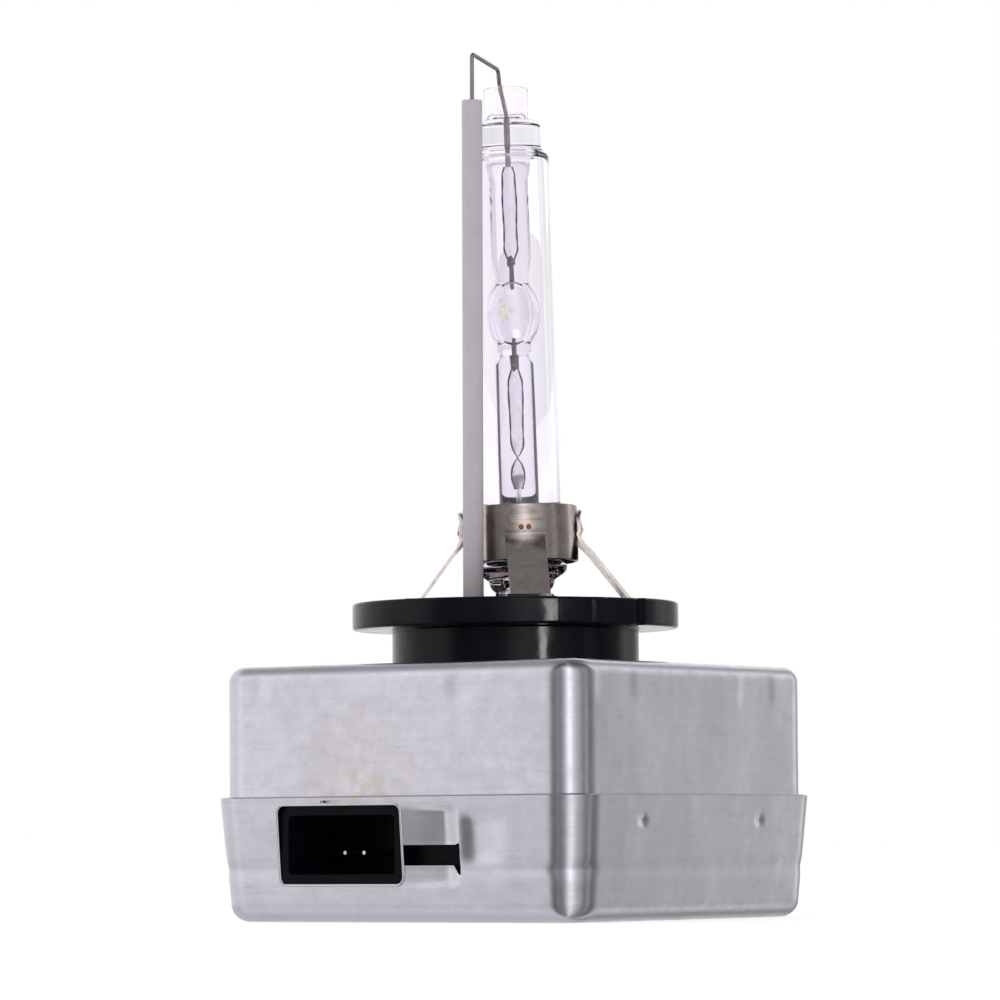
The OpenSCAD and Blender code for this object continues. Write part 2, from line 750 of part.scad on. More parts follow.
// The few heavy turns of the primary, in the first chamber
module primary_winding() {
    color("orangered") winding(0, tube_r + seat, primary_r);
}

module gap_place() {
    translate([spark_gap_x, spark_gap_y, board_top + spark_gap_d / 2 + seat]) rotate([90, 0, 0]) children();
}

// Ceramic body of the sealed spark gap
module spark_gap() {
    color("white") gap_place() difference() {
        cylinder(d = spark_gap_d - 0.6, h = spark_gap_length, center = true);
        cylinder(d = spark_gap_d / 2, h = spark_gap_length + cut, center = true);
    }
}

// The two metal end caps, each with its electrode stub
module spark_gap_caps() {
    reach = spark_gap_length / 2;
    color("silver") gap_place() for (s = [0, 180]) rotate([0, s, 0]) {
        translate([0, 0, reach + seat]) cylinder(d = spark_gap_d, h = spark_cap_t);
        translate([0, 0, 0.5]) cylinder(d = spark_gap_d / 3, h = reach);
    }
}

module storage_capacitor() {
    color("navy") capacitor_block(0);
}

module capacitor_block(gap) {
    translate([capacitor_x - gap, capacitor_y - gap, board_top + seat - gap])
        cube([capacitor_w + 2 * gap, capacitor_d + 2 * gap, capacitor_h + 2 * gap]);
}

module bleed_resistors() {
    color("tan") resistor_bodies(0) cylinder(d = 0.6, h = resistor_h + 0.8);
}

module resistor_bodies(gap) {
    for (y = resistor_y) translate([resistor_x, y, board_top + seat - gap]) {
        cylinder(r = resistor_d / 2 + gap, h = resistor_h);
        children();
    }
}

// Upright strip that takes the return lead to the board
module return_terminal() {
    color("goldenrod") terminal_strip(0);
}

module terminal_strip(gap) {
    translate([-terminal_w / 2 - gap, terminal_y - terminal_t / 2 - gap, board_top + seat - gap])
        cube([terminal_w + 2 * gap, terminal_t + 2 * gap, terminal_top - board_top]);
}

// Spring tab that joins the board's ground to the metal case
module ground_tab() {
    color("silver") tab_strip(0);
}

module tab_strip(gap) {
    reach = cover_r(tab_z) - sheet - slip;
    translate([tab_foot - gap, -tab_w / 2 - gap, board_top + seat - gap])
        cube([tab_t + 2 * gap, tab_w + 2 * gap, tab_z + tab_t / 2 - board_top - seat + 2 * gap]);
    translate([tab_foot - gap, -tab_w / 2 - gap, tab_z - tab_t / 2 - gap])
        cube([reach - tab_foot + gap, tab_w + 2 * gap, tab_t + 2 * gap]);
}

// Cast compound that buries the board and the lower half of the transformer
module potting_compound() {
    gap_r = spark_gap_d / 2 + seat;
    gap_length = spark_gap_length + 2 * spark_cap_t + 4 * seat;
    color("#4a4a4c") difference() {
        translate([0, 0, housing_deck + seat]) linear_extrude(pot_top - housing_deck - seat)
            plate(housing_in - slip, housing_corner - housing_wall);
        for (x = [-post_x, post_x], y = post_y) translate([x, y, housing_deck - cut])
            cylinder(r = post_r + seat, h = board_low - housing_deck + cut);
        intersection() {
            translate([0, 0, board_low - seat]) linear_extrude(board_t + 2 * seat)
                plate(board_r + seat, housing_corner - housing_wall);
            translate([-case_r, board_edge - seat, board_low - cut])
                cube([2 * case_r, 2 * case_r, board_t + 2 * cut]);
        }
        translate([socket_x, socket_back + socket_wall + seat - case_r / 2, socket_z])
            slot_bar(socket_w + 2 * seat, socket_h + 2 * seat, socket_corner, case_r);
        pin_shapes(seat);
        along_x(bobbin_length + 2 * seat) cylinder(r = bobbin_r + seat, h = bobbin_length + 2 * seat);
        along_x(core_length + 2 * seat) cylinder(r = core_r + seat, h = core_length + 2 * seat);
        bobbin_feet(seat);
        gap_place() cylinder(r = gap_r, h = gap_length, center = true);
        translate([spark_gap_x - gap_r, spark_gap_y - gap_length / 2, board_top])
            cube([2 * gap_r, gap_length, gap_r]);
        capacitor_block(seat);
        resistor_bodies(seat);
        terminal_strip(seat);
        tab_strip(seat);
    }
}

outer_bulb();
arc_tube();
upper_electrode();
lower_electrode();
electrode_coil();
upper_foil();
lower_foil();
halide_salts();
lower_lead();
return_lead();
ceramic_tube();
clamp_band();
clamp_spring();
support_legs();
base_flange();
hv_insulator();
hv_contact();
hv_lead();
upper_can();
lower_cover();
igniter_housing();
connector_pins();
circuit_board();
transformer_core();
transformer_bobbin();
secondary_winding();
primary_winding();
spark_gap();
spark_gap_caps();
storage_capacitor();
bleed_resistors();
return_terminal();
ground_tab();
potting_compound();
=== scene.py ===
"""Xenon gas-discharge headlight bulb with its igniter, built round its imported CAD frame.

Lengths in the functions are millimetres; make_piece() turns them into metres.
"""

import json
import math
import random
from types import SimpleNamespace

import bmesh
import bpy
from bpy.props import FloatProperty, FloatVectorProperty, PointerProperty
from mathutils import Matrix, Vector, noise


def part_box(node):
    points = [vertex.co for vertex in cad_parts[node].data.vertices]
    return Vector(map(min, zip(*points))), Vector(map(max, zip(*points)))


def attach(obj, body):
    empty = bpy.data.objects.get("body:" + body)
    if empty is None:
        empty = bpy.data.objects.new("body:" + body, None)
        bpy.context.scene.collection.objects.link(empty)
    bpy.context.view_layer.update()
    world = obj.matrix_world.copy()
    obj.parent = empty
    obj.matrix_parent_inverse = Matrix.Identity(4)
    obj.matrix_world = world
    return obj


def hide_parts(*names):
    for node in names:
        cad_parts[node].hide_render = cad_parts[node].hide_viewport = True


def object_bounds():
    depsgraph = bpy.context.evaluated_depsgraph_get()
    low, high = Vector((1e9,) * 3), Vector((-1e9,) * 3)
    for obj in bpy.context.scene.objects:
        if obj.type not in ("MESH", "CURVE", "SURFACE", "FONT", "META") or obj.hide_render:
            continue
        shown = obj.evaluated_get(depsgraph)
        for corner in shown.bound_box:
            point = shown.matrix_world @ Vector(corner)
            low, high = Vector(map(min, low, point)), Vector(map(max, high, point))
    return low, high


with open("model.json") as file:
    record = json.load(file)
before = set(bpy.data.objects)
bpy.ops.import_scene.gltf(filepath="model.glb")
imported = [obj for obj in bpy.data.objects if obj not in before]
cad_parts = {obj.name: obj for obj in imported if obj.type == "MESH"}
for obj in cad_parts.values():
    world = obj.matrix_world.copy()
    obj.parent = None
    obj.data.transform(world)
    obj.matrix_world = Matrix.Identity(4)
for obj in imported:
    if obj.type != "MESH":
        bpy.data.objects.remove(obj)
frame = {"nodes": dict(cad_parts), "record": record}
cad_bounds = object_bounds()

bl_info = {
    "name": "Gas-discharge headlight bulb",
    "version": (1, 0, 0),
    "blender": (4, 5, 0),
    "location": "View3D > Sidebar > Bulb",
    "description": "Builds a xenon headlight bulb: glass burner, clamp, flange and igniter case",
    "category": "Add Mesh",
}

MM = 0.001
TAU = 2 * math.pi
ROUND = 160  # segments of a turned piece
VESSEL_WALL = 1.05  # thickness of the vessel's glass at its middle
SIDE_STEPS, CORNER_STEPS = 90, 14  # points along each side and round each corner of the case
BEVEL_ANGLE = math.radians(35)  # edges sharper than this are drawn sharp, and may be bevelled


def srgb(code):
    """Linear colour of an sRGB hex code."""
    parts = [int(code[i:i + 2], 16) / 255 for i in (1, 3, 5)]
    return tuple(c / 12.92 if c <= 0.04045 else ((c + 0.055) / 1.055) ** 2.4 for c in parts)


def span(node):
    """Lowest and highest corner of a CAD node, in millimetres."""
    low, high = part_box(node)
    return low / MM, high / MM


def length(name, description, default):
    """A length property whose default is given in millimetres."""
    return FloatProperty(name=name, description=description, default=default * MM, unit="LENGTH", precision=5)


def colour(name, description, code):
    """A colour property whose default is given as an sRGB hex code."""
    return FloatVectorProperty(name=name, description=description, default=srgb(code), subtype="COLOR")


can_low, can_high = span("upper_can")
cover_low, cover_high = span("lower_cover")
ceramic_low, ceramic_high = span("ceramic_tube")
lead_low, lead_high = span("return_lead")
pins_low, pins_high = span("connector_pins")

# Middle and size of the connector's socket and of the latch slot beside it, in the cover's front
socket = SimpleNamespace(x=(pins_low.x + pins_high.x) / 2 + 1.3, z=cover_low.z + 7.2, w=13.9, h=7.2)
latch = SimpleNamespace(x=socket.x + 10.0, z=cover_low.z + 6.2, w=6.1, h=1.9)
crease_z = cover_low.z + 4.9  # height of the crease round the cover


class BulbSizes(bpy.types.PropertyGroup):
    """Driving sizes of the burner, the clamp and the base."""

    lean: FloatProperty(
        name="Burner lean", description="Tilt of the burner towards -X",
        default=math.radians(1.8), subtype="ANGLE")
    pivot: length("Pivot height", "Height about which the burner leans", 27.0)
    arc: length("Arc height", "Middle of the arc above the flange face", 27.7)
    gap: length("Arc gap", "Gap between the two electrode tips", 4.2)
    jacket: length("Jacket radius", "Outside of the glass jacket", 3.95)
    jacket_wall: length("Jacket wall", "Thickness of the jacket's glass", 0.9)
    jacket_top: length("Jacket top", "Height of the jacket's shoulder", 43.4)
    vessel: length("Vessel radius", "Outside of the discharge vessel's bulge", 2.55)
    vessel_half: length("Vessel half length", "Half the length of the vessel's bulge", 3.6)
    stem: length("Stem radius", "Outside of the two glass stems", 2.15)
    pinch: length("Pinch radius", "Mean radius of the sealed stretches of the stems", 1.7)
    stub: length("Stub height", "Open stub above the jacket", 3.25)
    electrode: length("Electrode radius", "Tungsten rod", 0.18)
    band: length("Band radius", "Outside of the clamp band", 5.5)
    band_low: length("Band low edge", "Height of the band's lower edge", 3.8)
    band_height: length("Band height", "Height of the clamp band", 5.35)
    sheet: length("Clamp sheet", "Thickness of the band and the legs", 0.3)
    leg_width: length("Leg width", "Width of each support leg", 3.8)
    leg_root: length("Leg root", "Distance of the legs' feet from the burner axis", 10.4)
    leg_turn: FloatProperty(
        name="Leg direction", description="Direction of the front leg from +X",
        default=math.radians(-51.5), subtype="ANGLE")
    flange: length("Flange radius", "Outside of the locating flange", 15.6)
    flange_t: length("Flange thickness", "Thickness of the locating flange", 2.55)
    neck: length("Neck radius", "Neck between the flange and the case", 11.8)
    case_sheet: length("Case sheet", "Thickness of the case's sheet metal", 0.5)


class BulbColours(bpy.types.PropertyGroup):
    """Colours of the finishes that show."""

    glass: colour("Glass", "Doped quartz glass", "#FBF9FD")
    case: colour("Case", "Deep-drawn aluminium", "#CDC9D3")
    stain: colour("Stain", "Handling marks on the case", "#B8AC93")
    plastic: colour("Base plastic", "Glossy black moulding", "#0B0911")
    steel: colour("Clamp steel", "Rolled stainless steel", "#B9AEAA")
    weld: colour("Weld tint", "Heat tint of the spot welds", "#94593C")
    ceramic: colour("Ceramic", "Sintered alumina", "#C2BDC3")
    wire: colour("Lead wire", "Drawn nickel wire", "#A8A09D")
    salts: colour("Salts", "Metal halide grains", "#F8F8DA")
    floor: colour("Floor", "Pale studio floor", "#FBFBFB")


def settings():
    """Sizes in millimetres and colours, from the scene's property groups."""
    sizes, colours = bpy.context.scene.bulb_sizes, bpy.context.scene.bulb_colours
    values = {}
    for key, prop in sizes.bl_rna.properties.items():
        if prop.type == "FLOAT":
            value = getattr(sizes, key)
            values[key] = value / MM if prop.unit == "LENGTH" else value
    for key, prop in colours.bl_rna.properties.items():
        if prop.type == "FLOAT":
            values["c_" + key] = (*getattr(colours, key), 1.0)
    return SimpleNamespace(**values)


# ---------------------------------------------------------------- meshes


def skin(rings, loop=False):
    """Mesh over rings of equally many points; loop joins the last to the first, else the ends are closed."""
    made = bmesh.new()
    grid = [[made.verts.new(p) for p in ring] for ring in rings]
    count = len(rings[0])
    pairs = list(zip(grid, grid[1:])) + ([(grid[-1], grid[0])] if loop else [])
    for low, high in pairs:
        for k in range(count):
            made.faces.new((low[k], low[(k + 1) % count], high[(k + 1) % count], high[k]))
    if not loop:
        made.faces.new(grid[0])
        made.faces.new(grid[-1])
    bmesh.ops.remove_doubles(made, verts=made.verts, dist=1e-5)
    bmesh.ops.delete(made, geom=[e for e in made.edges if not e.link_faces], context="EDGES")
    bmesh.ops.recalc_face_normals(made, faces=made.faces)
    return made


def merged(*parts):
    """One mesh of several, with the ones after the first None turned inside out, as hollows."""
    made, flip = bmesh.new(), False
    for part in parts:
        if part is None:
            flip = True
            continue
        if flip:
            bmesh.ops.reverse_faces(part, faces=part.faces)
        mesh = bpy.data.meshes.new("part")
        part.to_mesh(mesh)
        made.from_mesh(mesh)
        part.free()
        bpy.data.meshes.remove(mesh)
    return made


def polar(r, angle, z):
    """Point at a radius, an angle and a height."""
    return Vector((r * math.cos(angle), r * math.sin(angle), z))


def turned(profile, count=ROUND, radius=None, loop=True):
    """Solid of revolution of a profile of (radius, height); radius(angle, r, z) may shape each ring."""
    shape = radius or (lambda angle, r, z: r)
    rings = []
    for r, z in profile:
        rings.append([polar(shape(a, r, z), a, z) for a in (TAU * k / count for k in range(count))])
    return skin(rings, loop)


def arc(cx, cz, r, start, end, steps=8):
    """Points of an arc about (cx, cz), from start to end degrees."""
    angles = [math.radians(start + (end - start) * i / steps) for i in range(steps + 1)]
    return [(cx + r * math.cos(a), cz + r * math.sin(a)) for a in angles]


def smooth_step(low, high, x):
    """Share from 0 to 1 that rises without a corner while x goes from low to high."""
    t = min(1.0, max(0.0, (x - low) / (high - low)))
    return t * t * (3 - 2 * t)


def plateau(rise, full, fade, end, x):
    """Share that rises from 0 at rise to 1 at full, and falls from 1 at fade to 0 at end."""
    return smooth_step(rise, full, x) * (1 - smooth_step(fade, end, x))


def square_ring(half, corner, z, side_steps=SIDE_STEPS, corner_steps=CORNER_STEPS):
    """Rounded square about the axis, half a side wide, with evenly spaced points."""
    points = []
    for quarter in range(4):
        turn = Matrix.Rotation(quarter * TAU / 4, 3, "Z")
        flat = half - corner
        for i in range(side_steps):
            points.append(turn @ Vector((half, -flat + 2 * flat * i / side_steps, z)))
        for i in range(corner_steps):
            a = TAU / 4 * i / corner_steps
            points.append(turn @ Vector((flat + corner * math.cos(a), flat + corner * math.sin(a), z)))
    return points


def rounded_route(points, r, steps=8):
    """A route through points, with each corner rounded over the length r on both sides."""
    route = [points[0]]
    for before, p, after in zip(points, points[1:], points[2:]):
        a, b = p + (before - p).normalized() * r, p + (after - p).normalized() * r
        for i in range(steps + 1):
            t = i / steps
            route.append((1 - t) ** 2 * a + 2 * t * (1 - t) * p + t * t * b)
    return route + [points[-1]]


def wire(route, radius, sides=20, loop=False):
    """Round wire along a route or loop; radius is a number, or a function of the share of the way along."""
    size = radius if callable(radius) else (lambda share: radius)
    tangent = (route[1] - route[0]).normalized()
    side = tangent.orthogonal().normalized()
    rings = []
    last = len(route) - 1
    for i, p in enumerate(route):
        after, before = ((i + 1) % (last + 1), i - 1) if loop else (min(i + 1, last), max(i - 1, 0))
        step = (route[after] - route[before]).normalized()
        side = (side - step * side.dot(step)).normalized()
        up = step.cross(side)
        q = size(i / (len(route) - 1))
        rings.append([p + q * (math.cos(TAU * k / sides) * side + math.sin(TAU * k / sides) * up)
                      for k in range(sides)])
    return skin(rings, loop)


def block(size, centre, bevel=0.0):
    """Box, with its edges bevelled if a width is given."""
    made = bmesh.new()
    bmesh.ops.create_cube(made, size=1.0)
    place = Matrix.Translation(centre) @ Matrix.Diagonal((*size, 1))
    bmesh.ops.transform(made, matrix=place, verts=made.verts)
    if bevel:
        bmesh.ops.bevel(made, geom=made.edges[:], offset=bevel, segments=3, affect="EDGES", profile=0.5)
    return made


def make_piece(name, part, material, slot, nodes=(), bevel=0.0, sharp=BEVEL_ANGLE, place=None):
    """Turns a mesh in millimetres into a piece that rides on the lamp and stands for CAD nodes."""
    scale = Matrix.Scale(MM, 4)
    bmesh.ops.transform(part, matrix=scale @ place if place else scale, verts=part.verts)
    mesh = bpy.data.meshes.new(name)
    part.to_mesh(mesh)
    part.free()
    mesh.materials.append(material)
    mesh.shade_smooth()
    mesh.set_sharp_from_angle(angle=sharp)
    piece = bpy.data.objects.new(name, mesh)
    bpy.context.scene.collection.objects.link(piece)
    if bevel:
        add_bevel(piece, bevel)
    if slot:
        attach(piece, "root")
    if nodes:
        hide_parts(*nodes)
    return piece


def add_bevel(piece, width):
    """Small rounded edges, which catch a line of light as moulded and pressed edges do."""
    edges = piece.modifiers.new("edges", "BEVEL")
    edges.width = width * MM
    edges.segments = 2
    edges.limit_method = "ANGLE"
    edges.angle_limit = BEVEL_ANGLE


def cut_from(piece, cutters):
    """Cuts meshes in millimetres out of a piece, and keeps the result as its mesh."""
    objects = [make_piece("cutter", c, piece.data.materials[0], "") for c in cutters]
    for cutter in objects:
        cut = piece.modifiers.new("cut", "BOOLEAN")
        cut.operation, cut.solver, cut.object = "DIFFERENCE", "EXACT", cutter
    bpy.context.view_layer.update()
    result = bpy.data.meshes.new_from_object(piece.evaluated_get(bpy.context.evaluated_depsgraph_get()))
    piece.modifiers.clear()
    piece.data = result
    result.name = piece.name
    for cutter in objects:
        bpy.data.meshes.remove(cutter.data)
    result.set_sharp_from_angle(angle=BEVEL_ANGLE)


def burner_place(s):
    """The lean of the burner about its pivot."""
    return (Matrix.Translation((0, 0, s.pivot)) @ Matrix.Rotation(-s.lean, 4, "Y")
            @ Matrix.Translation((0, 0, -s.pivot)))


def stub_sizes(s):
    """Height where the jacket is sealed to the stem, height of the open stub's rim, and the stub's bore."""
    seal_top = s.jacket_top + 3.0
    return seal_top, seal_top + s.stub, s.stem - 0.75


def sleeve_place():
    """The ceramic tube's place: loose in its hole, so it stands a little to +X and leans that way."""
    play, tilt = 0.18, math.radians(0.25)
    return Matrix.Translation((play, (ceramic_low.y + ceramic_high.y) / 2, 0)) @ Matrix.Rotation(tilt, 4, "Y")


# ------------------------------------------------------------- materials


def add_node(tree, kind, inputs=None, **options):
    """Adds a node, sets its options, and fills its inputs with values or with other nodes' outputs."""
    made = tree.nodes.new(kind)
    for key, value in options.items():
        setattr(made, key, value)
    for key, value in (inputs or {}).items():
        if isinstance(value, bpy.types.NodeSocket):
            tree.links.new(value, made.inputs[key])
        else:
            made.inputs[key].default_value = value
    return made


def combined(tree, operation, first, second):
    """Output of one calculation on two values or other nodes' outputs."""
    return add_node(tree, "ShaderNodeMath", {0: first, 1: second}, operation=operation).outputs["Value"]


def shared(build):
    """Makes a material once, and gives the same one to every piece that asks for it."""
    made = {}

    def given(*arguments):
        key = arguments[1:]
        if key not in made:
            made[key] = build(*arguments)
        return made[key]

    return given


def finish(name, base, roughness, metallic=0.0, **sockets):
    """A material with one shader; sockets are the shader's own inputs, with _ for a space."""
    material = bpy.data.materials.new(name)
    material.use_nodes = True
    tree = material.node_tree
    tree.nodes.clear()
    values = {"Base Color": base, "Roughness": roughness, "Metallic": metallic}
    values.update({key.replace("_", " "): value for key, value in sockets.items()})
    shader = add_node(tree, "ShaderNodeBsdfPrincipled", values)
    add_node(tree, "ShaderNodeOutputMaterial", {"Surface": shader.outputs["BSDF"]})
    return material, tree, shader


def pattern(tree, size, low, high, detail=3.0, stretch=(1, 1, 1), turn=(0, 0, 0), contrast=0.25):
    """Noise whose patches are size millimetres across, as values from low to high."""
    place = add_node(tree, "ShaderNodeTexCoord")
    scale = [1 / (size * MM * k) for k in stretch]
    mapped = add_node(tree, "ShaderNodeMapping", {
        "Vector": place.outputs["Object"], "Rotation": turn, "Scale": scale}, vector_type="POINT")
    grain = add_node(tree, "ShaderNodeTexNoise", {
        "Vector": mapped.outputs["Vector"], "Scale": 1.0, "Detail": detail, "Roughness": 0.55})
    spread = add_node(tree, "ShaderNodeMapRange", {
        "Value": grain.outputs["Fac"], "From Min": 0.5 - contrast, "From Max": 0.5 + contrast,
        "To Min": low, "To Max": high})
    return spread.outputs["Result"]


def shaded(tree, first, second, share):
    """Colour between two colours, by a share."""
    mix = add_node(tree, "ShaderNodeMix", data_type="RGBA")
    mix.inputs[6].default_value = first if not isinstance(first, bpy.types.NodeSocket) else (0, 0, 0, 1)
    if isinstance(first, bpy.types.NodeSocket):
        tree.links.new(first, mix.inputs[6])
    mix.inputs[7].default_value = second
    tree.links.new(share, mix.inputs[0])
    return mix.outputs[2]


def relief(tree, shader, height, depth):
    """Bumps the shader by a height pattern, depth millimetres deep."""
    bump = add_node(tree, "ShaderNodeBump", {"Height": height, "Distance": depth * MM, "Strength": 1.0})
    tree.links.new(bump.outputs["Normal"], shader.inputs["Normal"])


def darker(base, share):
    return (base[0] * share, base[1] * share, base[2] * share, 1.0)


def mottle(tree, shader, base, other, tone):
    """Colours the shader between base and another colour, or a darker share of base, by a pattern."""
    other = darker(base, other) if isinstance(other, float) else other
    tree.links.new(shaded(tree, base, other, tone), shader.inputs["Base Color"])


@shared
def quartz_drawn(s):
    """Doped quartz, drawn: clear with a breath of lilac, and faint streaks along the tube."""
    material, tree, shader = finish("quartz_drawn", s.c_glass, 0.0, Transmission_Weight=1.0, IOR=1.458)
    relief(tree, shader, pattern(tree, 2.2, 0, 1, 2, stretch=(1, 1, 9)), 0.012)
    output = next(node for node in tree.nodes if node.type == "OUTPUT_MATERIAL")
    lilac = (*srgb("#E3DEE9"), 1)
    tint = add_node(tree, "ShaderNodeVolumeAbsorption", {"Color": lilac, "Density": 85.0})
    tree.links.new(tint.outputs["Volume"], output.inputs["Volume"])
    return material


@shared
def tungsten_drawn(s):
    """Tungsten, drawn and burnt dull: dark grey with fine lines round the rod."""
    base = (*srgb("#6E6B6C"), 1)
    material, tree, shader = finish("tungsten_drawn", base, 0.42, 1.0)
    tone = pattern(tree, 0.12, 0, 1, stretch=(6, 6, 1))
    mottle(tree, shader, base, 0.45, tone)
    return material


@shared
def molybdenum_etched(s):
    """Molybdenum foil, etched thin: satin grey that mottles along its length."""
    base = (*srgb("#F4F2F6"), 1)
    material, tree, shader = finish("molybdenum_etched", base, 0.2, 1.0)
    tone = pattern(tree, 0.4, 0, 1, stretch=(1, 1, 3))
    mottle(tree, shader, base, 0.9, tone)
    return material


@shared
def halide_crystals_painted_glow(s):
    """Metal halide grains: pale yellow-green and cloudy, with a rough broken surface, and a painted glow
    standing in for the light that reaches them through the glass.
    """
    # The emission is painted light: the grains glow in their own colour as if lit through the glass, though
    # they are no lamp.
    material, tree, shader = finish("halide_crystals_painted_glow", s.c_salts, 0.45, Subsurface_Weight=0.2,
                                    Emission_Color=s.c_salts, Emission_Strength=0.5)
    tone = pattern(tree, 0.18, 0, 1)
    mottle(tree, shader, s.c_salts, (*srgb("#E6E7AC"), 1), tone)
    relief(tree, shader, tone, 0.03)
    return material


@shared
def nickel_drawn(s):
    """Nickel wire, drawn and oxidised by its weld: warm dark grey, darker in patches."""
    material, tree, shader = finish("nickel_drawn", s.c_wire, 0.38, 1.0)
    tone = pattern(tree, 0.9, 0, 1, 4)
    mottle(tree, shader, s.c_wire, 0.65, tone)
    relief(tree, shader, pattern(tree, 0.15, 0, 1, stretch=(1, 1, 5)), 0.006)
    return material


@shared
def alumina_sintered(s):
    """Alumina, extruded and sintered: matte pale grey with a faint fine grain."""
    material, tree, shader = finish("alumina_sintered", s.c_ceramic, 0.62, Subsurface_Weight=0.35,
                                    Subsurface_Radius=(0.002, 0.0018, 0.0016))
    tone = pattern(tree, 1.6, 0, 1, 5)
    mottle(tree, shader, s.c_ceramic, 0.9, tone)
    relief(tree, shader, pattern(tree, 0.12, 0, 1), 0.008)
    return material


@shared
def stainless_rolled(s):
    """Stainless strip, bright rolled: mirror-like streaks, warm in the shade, with fine rolling lines."""
    material, tree, shader = finish("stainless_rolled", s.c_steel, 0.16, 1.0)
    tone = pattern(tree, 1.2, 0, 1, 4)
    mottle(tree, shader, s.c_steel, 0.72, tone)
    tree.links.new(pattern(tree, 0.5, 0.1, 0.3), shader.inputs["Roughness"])
    relief(tree, shader, pattern(tree, 0.35, 0, 1, stretch=(8, 8, 1)), 0.004)
    return material


@shared
def weld_tinted(s):
    """Spot weld in steel: a rough nugget tinted copper by the heat."""
    material, tree, shader = finish("weld_tinted", s.c_weld, 0.4, 1.0)
    relief(tree, shader, pattern(tree, 0.15, 0, 1), 0.02)
    return material


def black_moulded(s, name="plastic_black_gloss", gloss=0.12, specular=0.5):
    """Filled black plastic, moulded in a polished tool: deep black with sharp, slightly wavy lights."""
    material, tree, shader = finish(name, s.c_plastic, gloss, IOR=1.22, Specular_IOR_Level=specular)
    tree.links.new(pattern(tree, 3.0, gloss * 0.7, gloss * 1.6, 4), shader.inputs["Roughness"])
    relief(tree, shader, pattern(tree, 2.5, 0, 1, 2), 0.02)
    return material


@shared
def aluminium_drawn(s):
    """Aluminium sheet, deep drawn: satin lilac grey, mottled, with fine scratches from handling."""
    material, tree, shader = finish("aluminium_drawn", s.c_case, 0.22, 1.0)
    cloud = pattern(tree, 5.0, 0, 1, 6, contrast=0.3)
    tone = shaded(tree, s.c_case, darker(s.c_case, 0.9), cloud)
    speck = pattern(tree, 0.5, 0, 0.35, 3, contrast=0.18)
    tone = shaded(tree, tone, darker(s.c_case, 0.82), speck)
    # Lines left by the die run round the walls, drawn about 0.4 mm apart so that they show
    drawn = pattern(tree, 0.4, 0, 0.5, 3, stretch=(40, 40, 1), contrast=0.2)
    tone = shaded(tree, tone, darker(s.c_case, 0.86), drawn)
    smudge = pattern(tree, 1.0, -1.4, 0.7, 4, stretch=(3, 3, 1))
    tone = shaded(tree, tone, darker(s.c_case, 0.8), smudge)
    # A handling mark on the front, above the socket
    place = add_node(tree, "ShaderNodeTexCoord")
    spot = add_node(tree, "ShaderNodeVectorMath", {
        0: place.outputs["Object"], 1: (-4.0 * MM, can_low.y * MM, (cover_high.z + 1.6) * MM)},
        operation="DISTANCE")
    near = add_node(tree, "ShaderNodeMapRange", {
        "Value": spot.outputs["Value"], "From Min": 7.5 * MM, "From Max": 1.0 * MM,
        "To Min": 0.0, "To Max": 0.5})
    blot = pattern(tree, 1.4, 0.0, 1.0, 4, contrast=0.12)
    tone = shaded(tree, tone, s.c_stain, combined(tree, "MULTIPLY", near.outputs["Result"], blot))
    tree.links.new(tone, shader.inputs["Base Color"])
    tree.links.new(pattern(tree, 1.8, 0.16, 0.3, 5), shader.inputs["Roughness"])
    # Scratches run several ways, and are drawn coarser than the real hairlines so that they show
    lines = [pattern(tree, 0.16, 0, 1, 2, stretch=(30, 30, 1), turn=turn, contrast=0.1)
             for turn in ((0.35, 0.25, 0.2), (-0.7, 0.5, 0.9))]
    swell = pattern(tree, 4.5, 0, 9, 2)
    relief(tree, shader, combined(tree, "ADD", combined(tree, "ADD", *lines), swell), 0.001)
    return material


def plain_finish(name, code, roughness, metallic, size, depth, share=0.75):
    """A finish of a hidden part: its colour with a soft grain of the given size, and its relief."""
    base = (*srgb(code), 1)
    material, tree, shader = finish(name, base, roughness, metallic)
    tone = pattern(tree, size, 0, 1)
    mottle(tree, shader, base, share, tone)
    relief(tree, shader, tone, depth)
    return material


# -------------------------------------------------------------- operators


class BulbOperator:
    """Base of the operators: each one's build() adds its own group of pieces."""

    bl_options = {"REGISTER", "UNDO"}

    def execute(self, context):
        self.build(settings())
        return {"FINISHED"}


class OBJECT_OT_bulb_camera(BulbOperator, bpy.types.Operator):
    """Adds the camera, low and level with the case, looking slightly up"""

    bl_idname = "object.bulb_camera"
    bl_label = "Camera"

    def build(self, s):
        azimuth, pitch, yaw, roll = (math.radians(a) for a in (34.2, 3.72, 0.16, -0.4))
        distance, height = 500.0, -22.58
        data = bpy.data.cameras.new("camera")
        data.lens, data.sensor_width = 188.1, 36.0
        data.clip_start, data.clip_end = 0.01, 10.0
        camera = bpy.data.objects.new("camera", data)
        bpy.context.scene.collection.objects.link(camera)
        place = Vector((math.sin(azimuth) * distance, -math.cos(azimuth) * distance, height)) * MM
        camera.matrix_world = (
            Matrix.Translation(place) @ Matrix.Rotation(azimuth + yaw, 4, "Z")
            @ Matrix.Rotation(math.pi / 2 + pitch, 4, "X") @ Matrix.Rotation(roll, 4, "Z"))
        bpy.context.scene.camera = camera


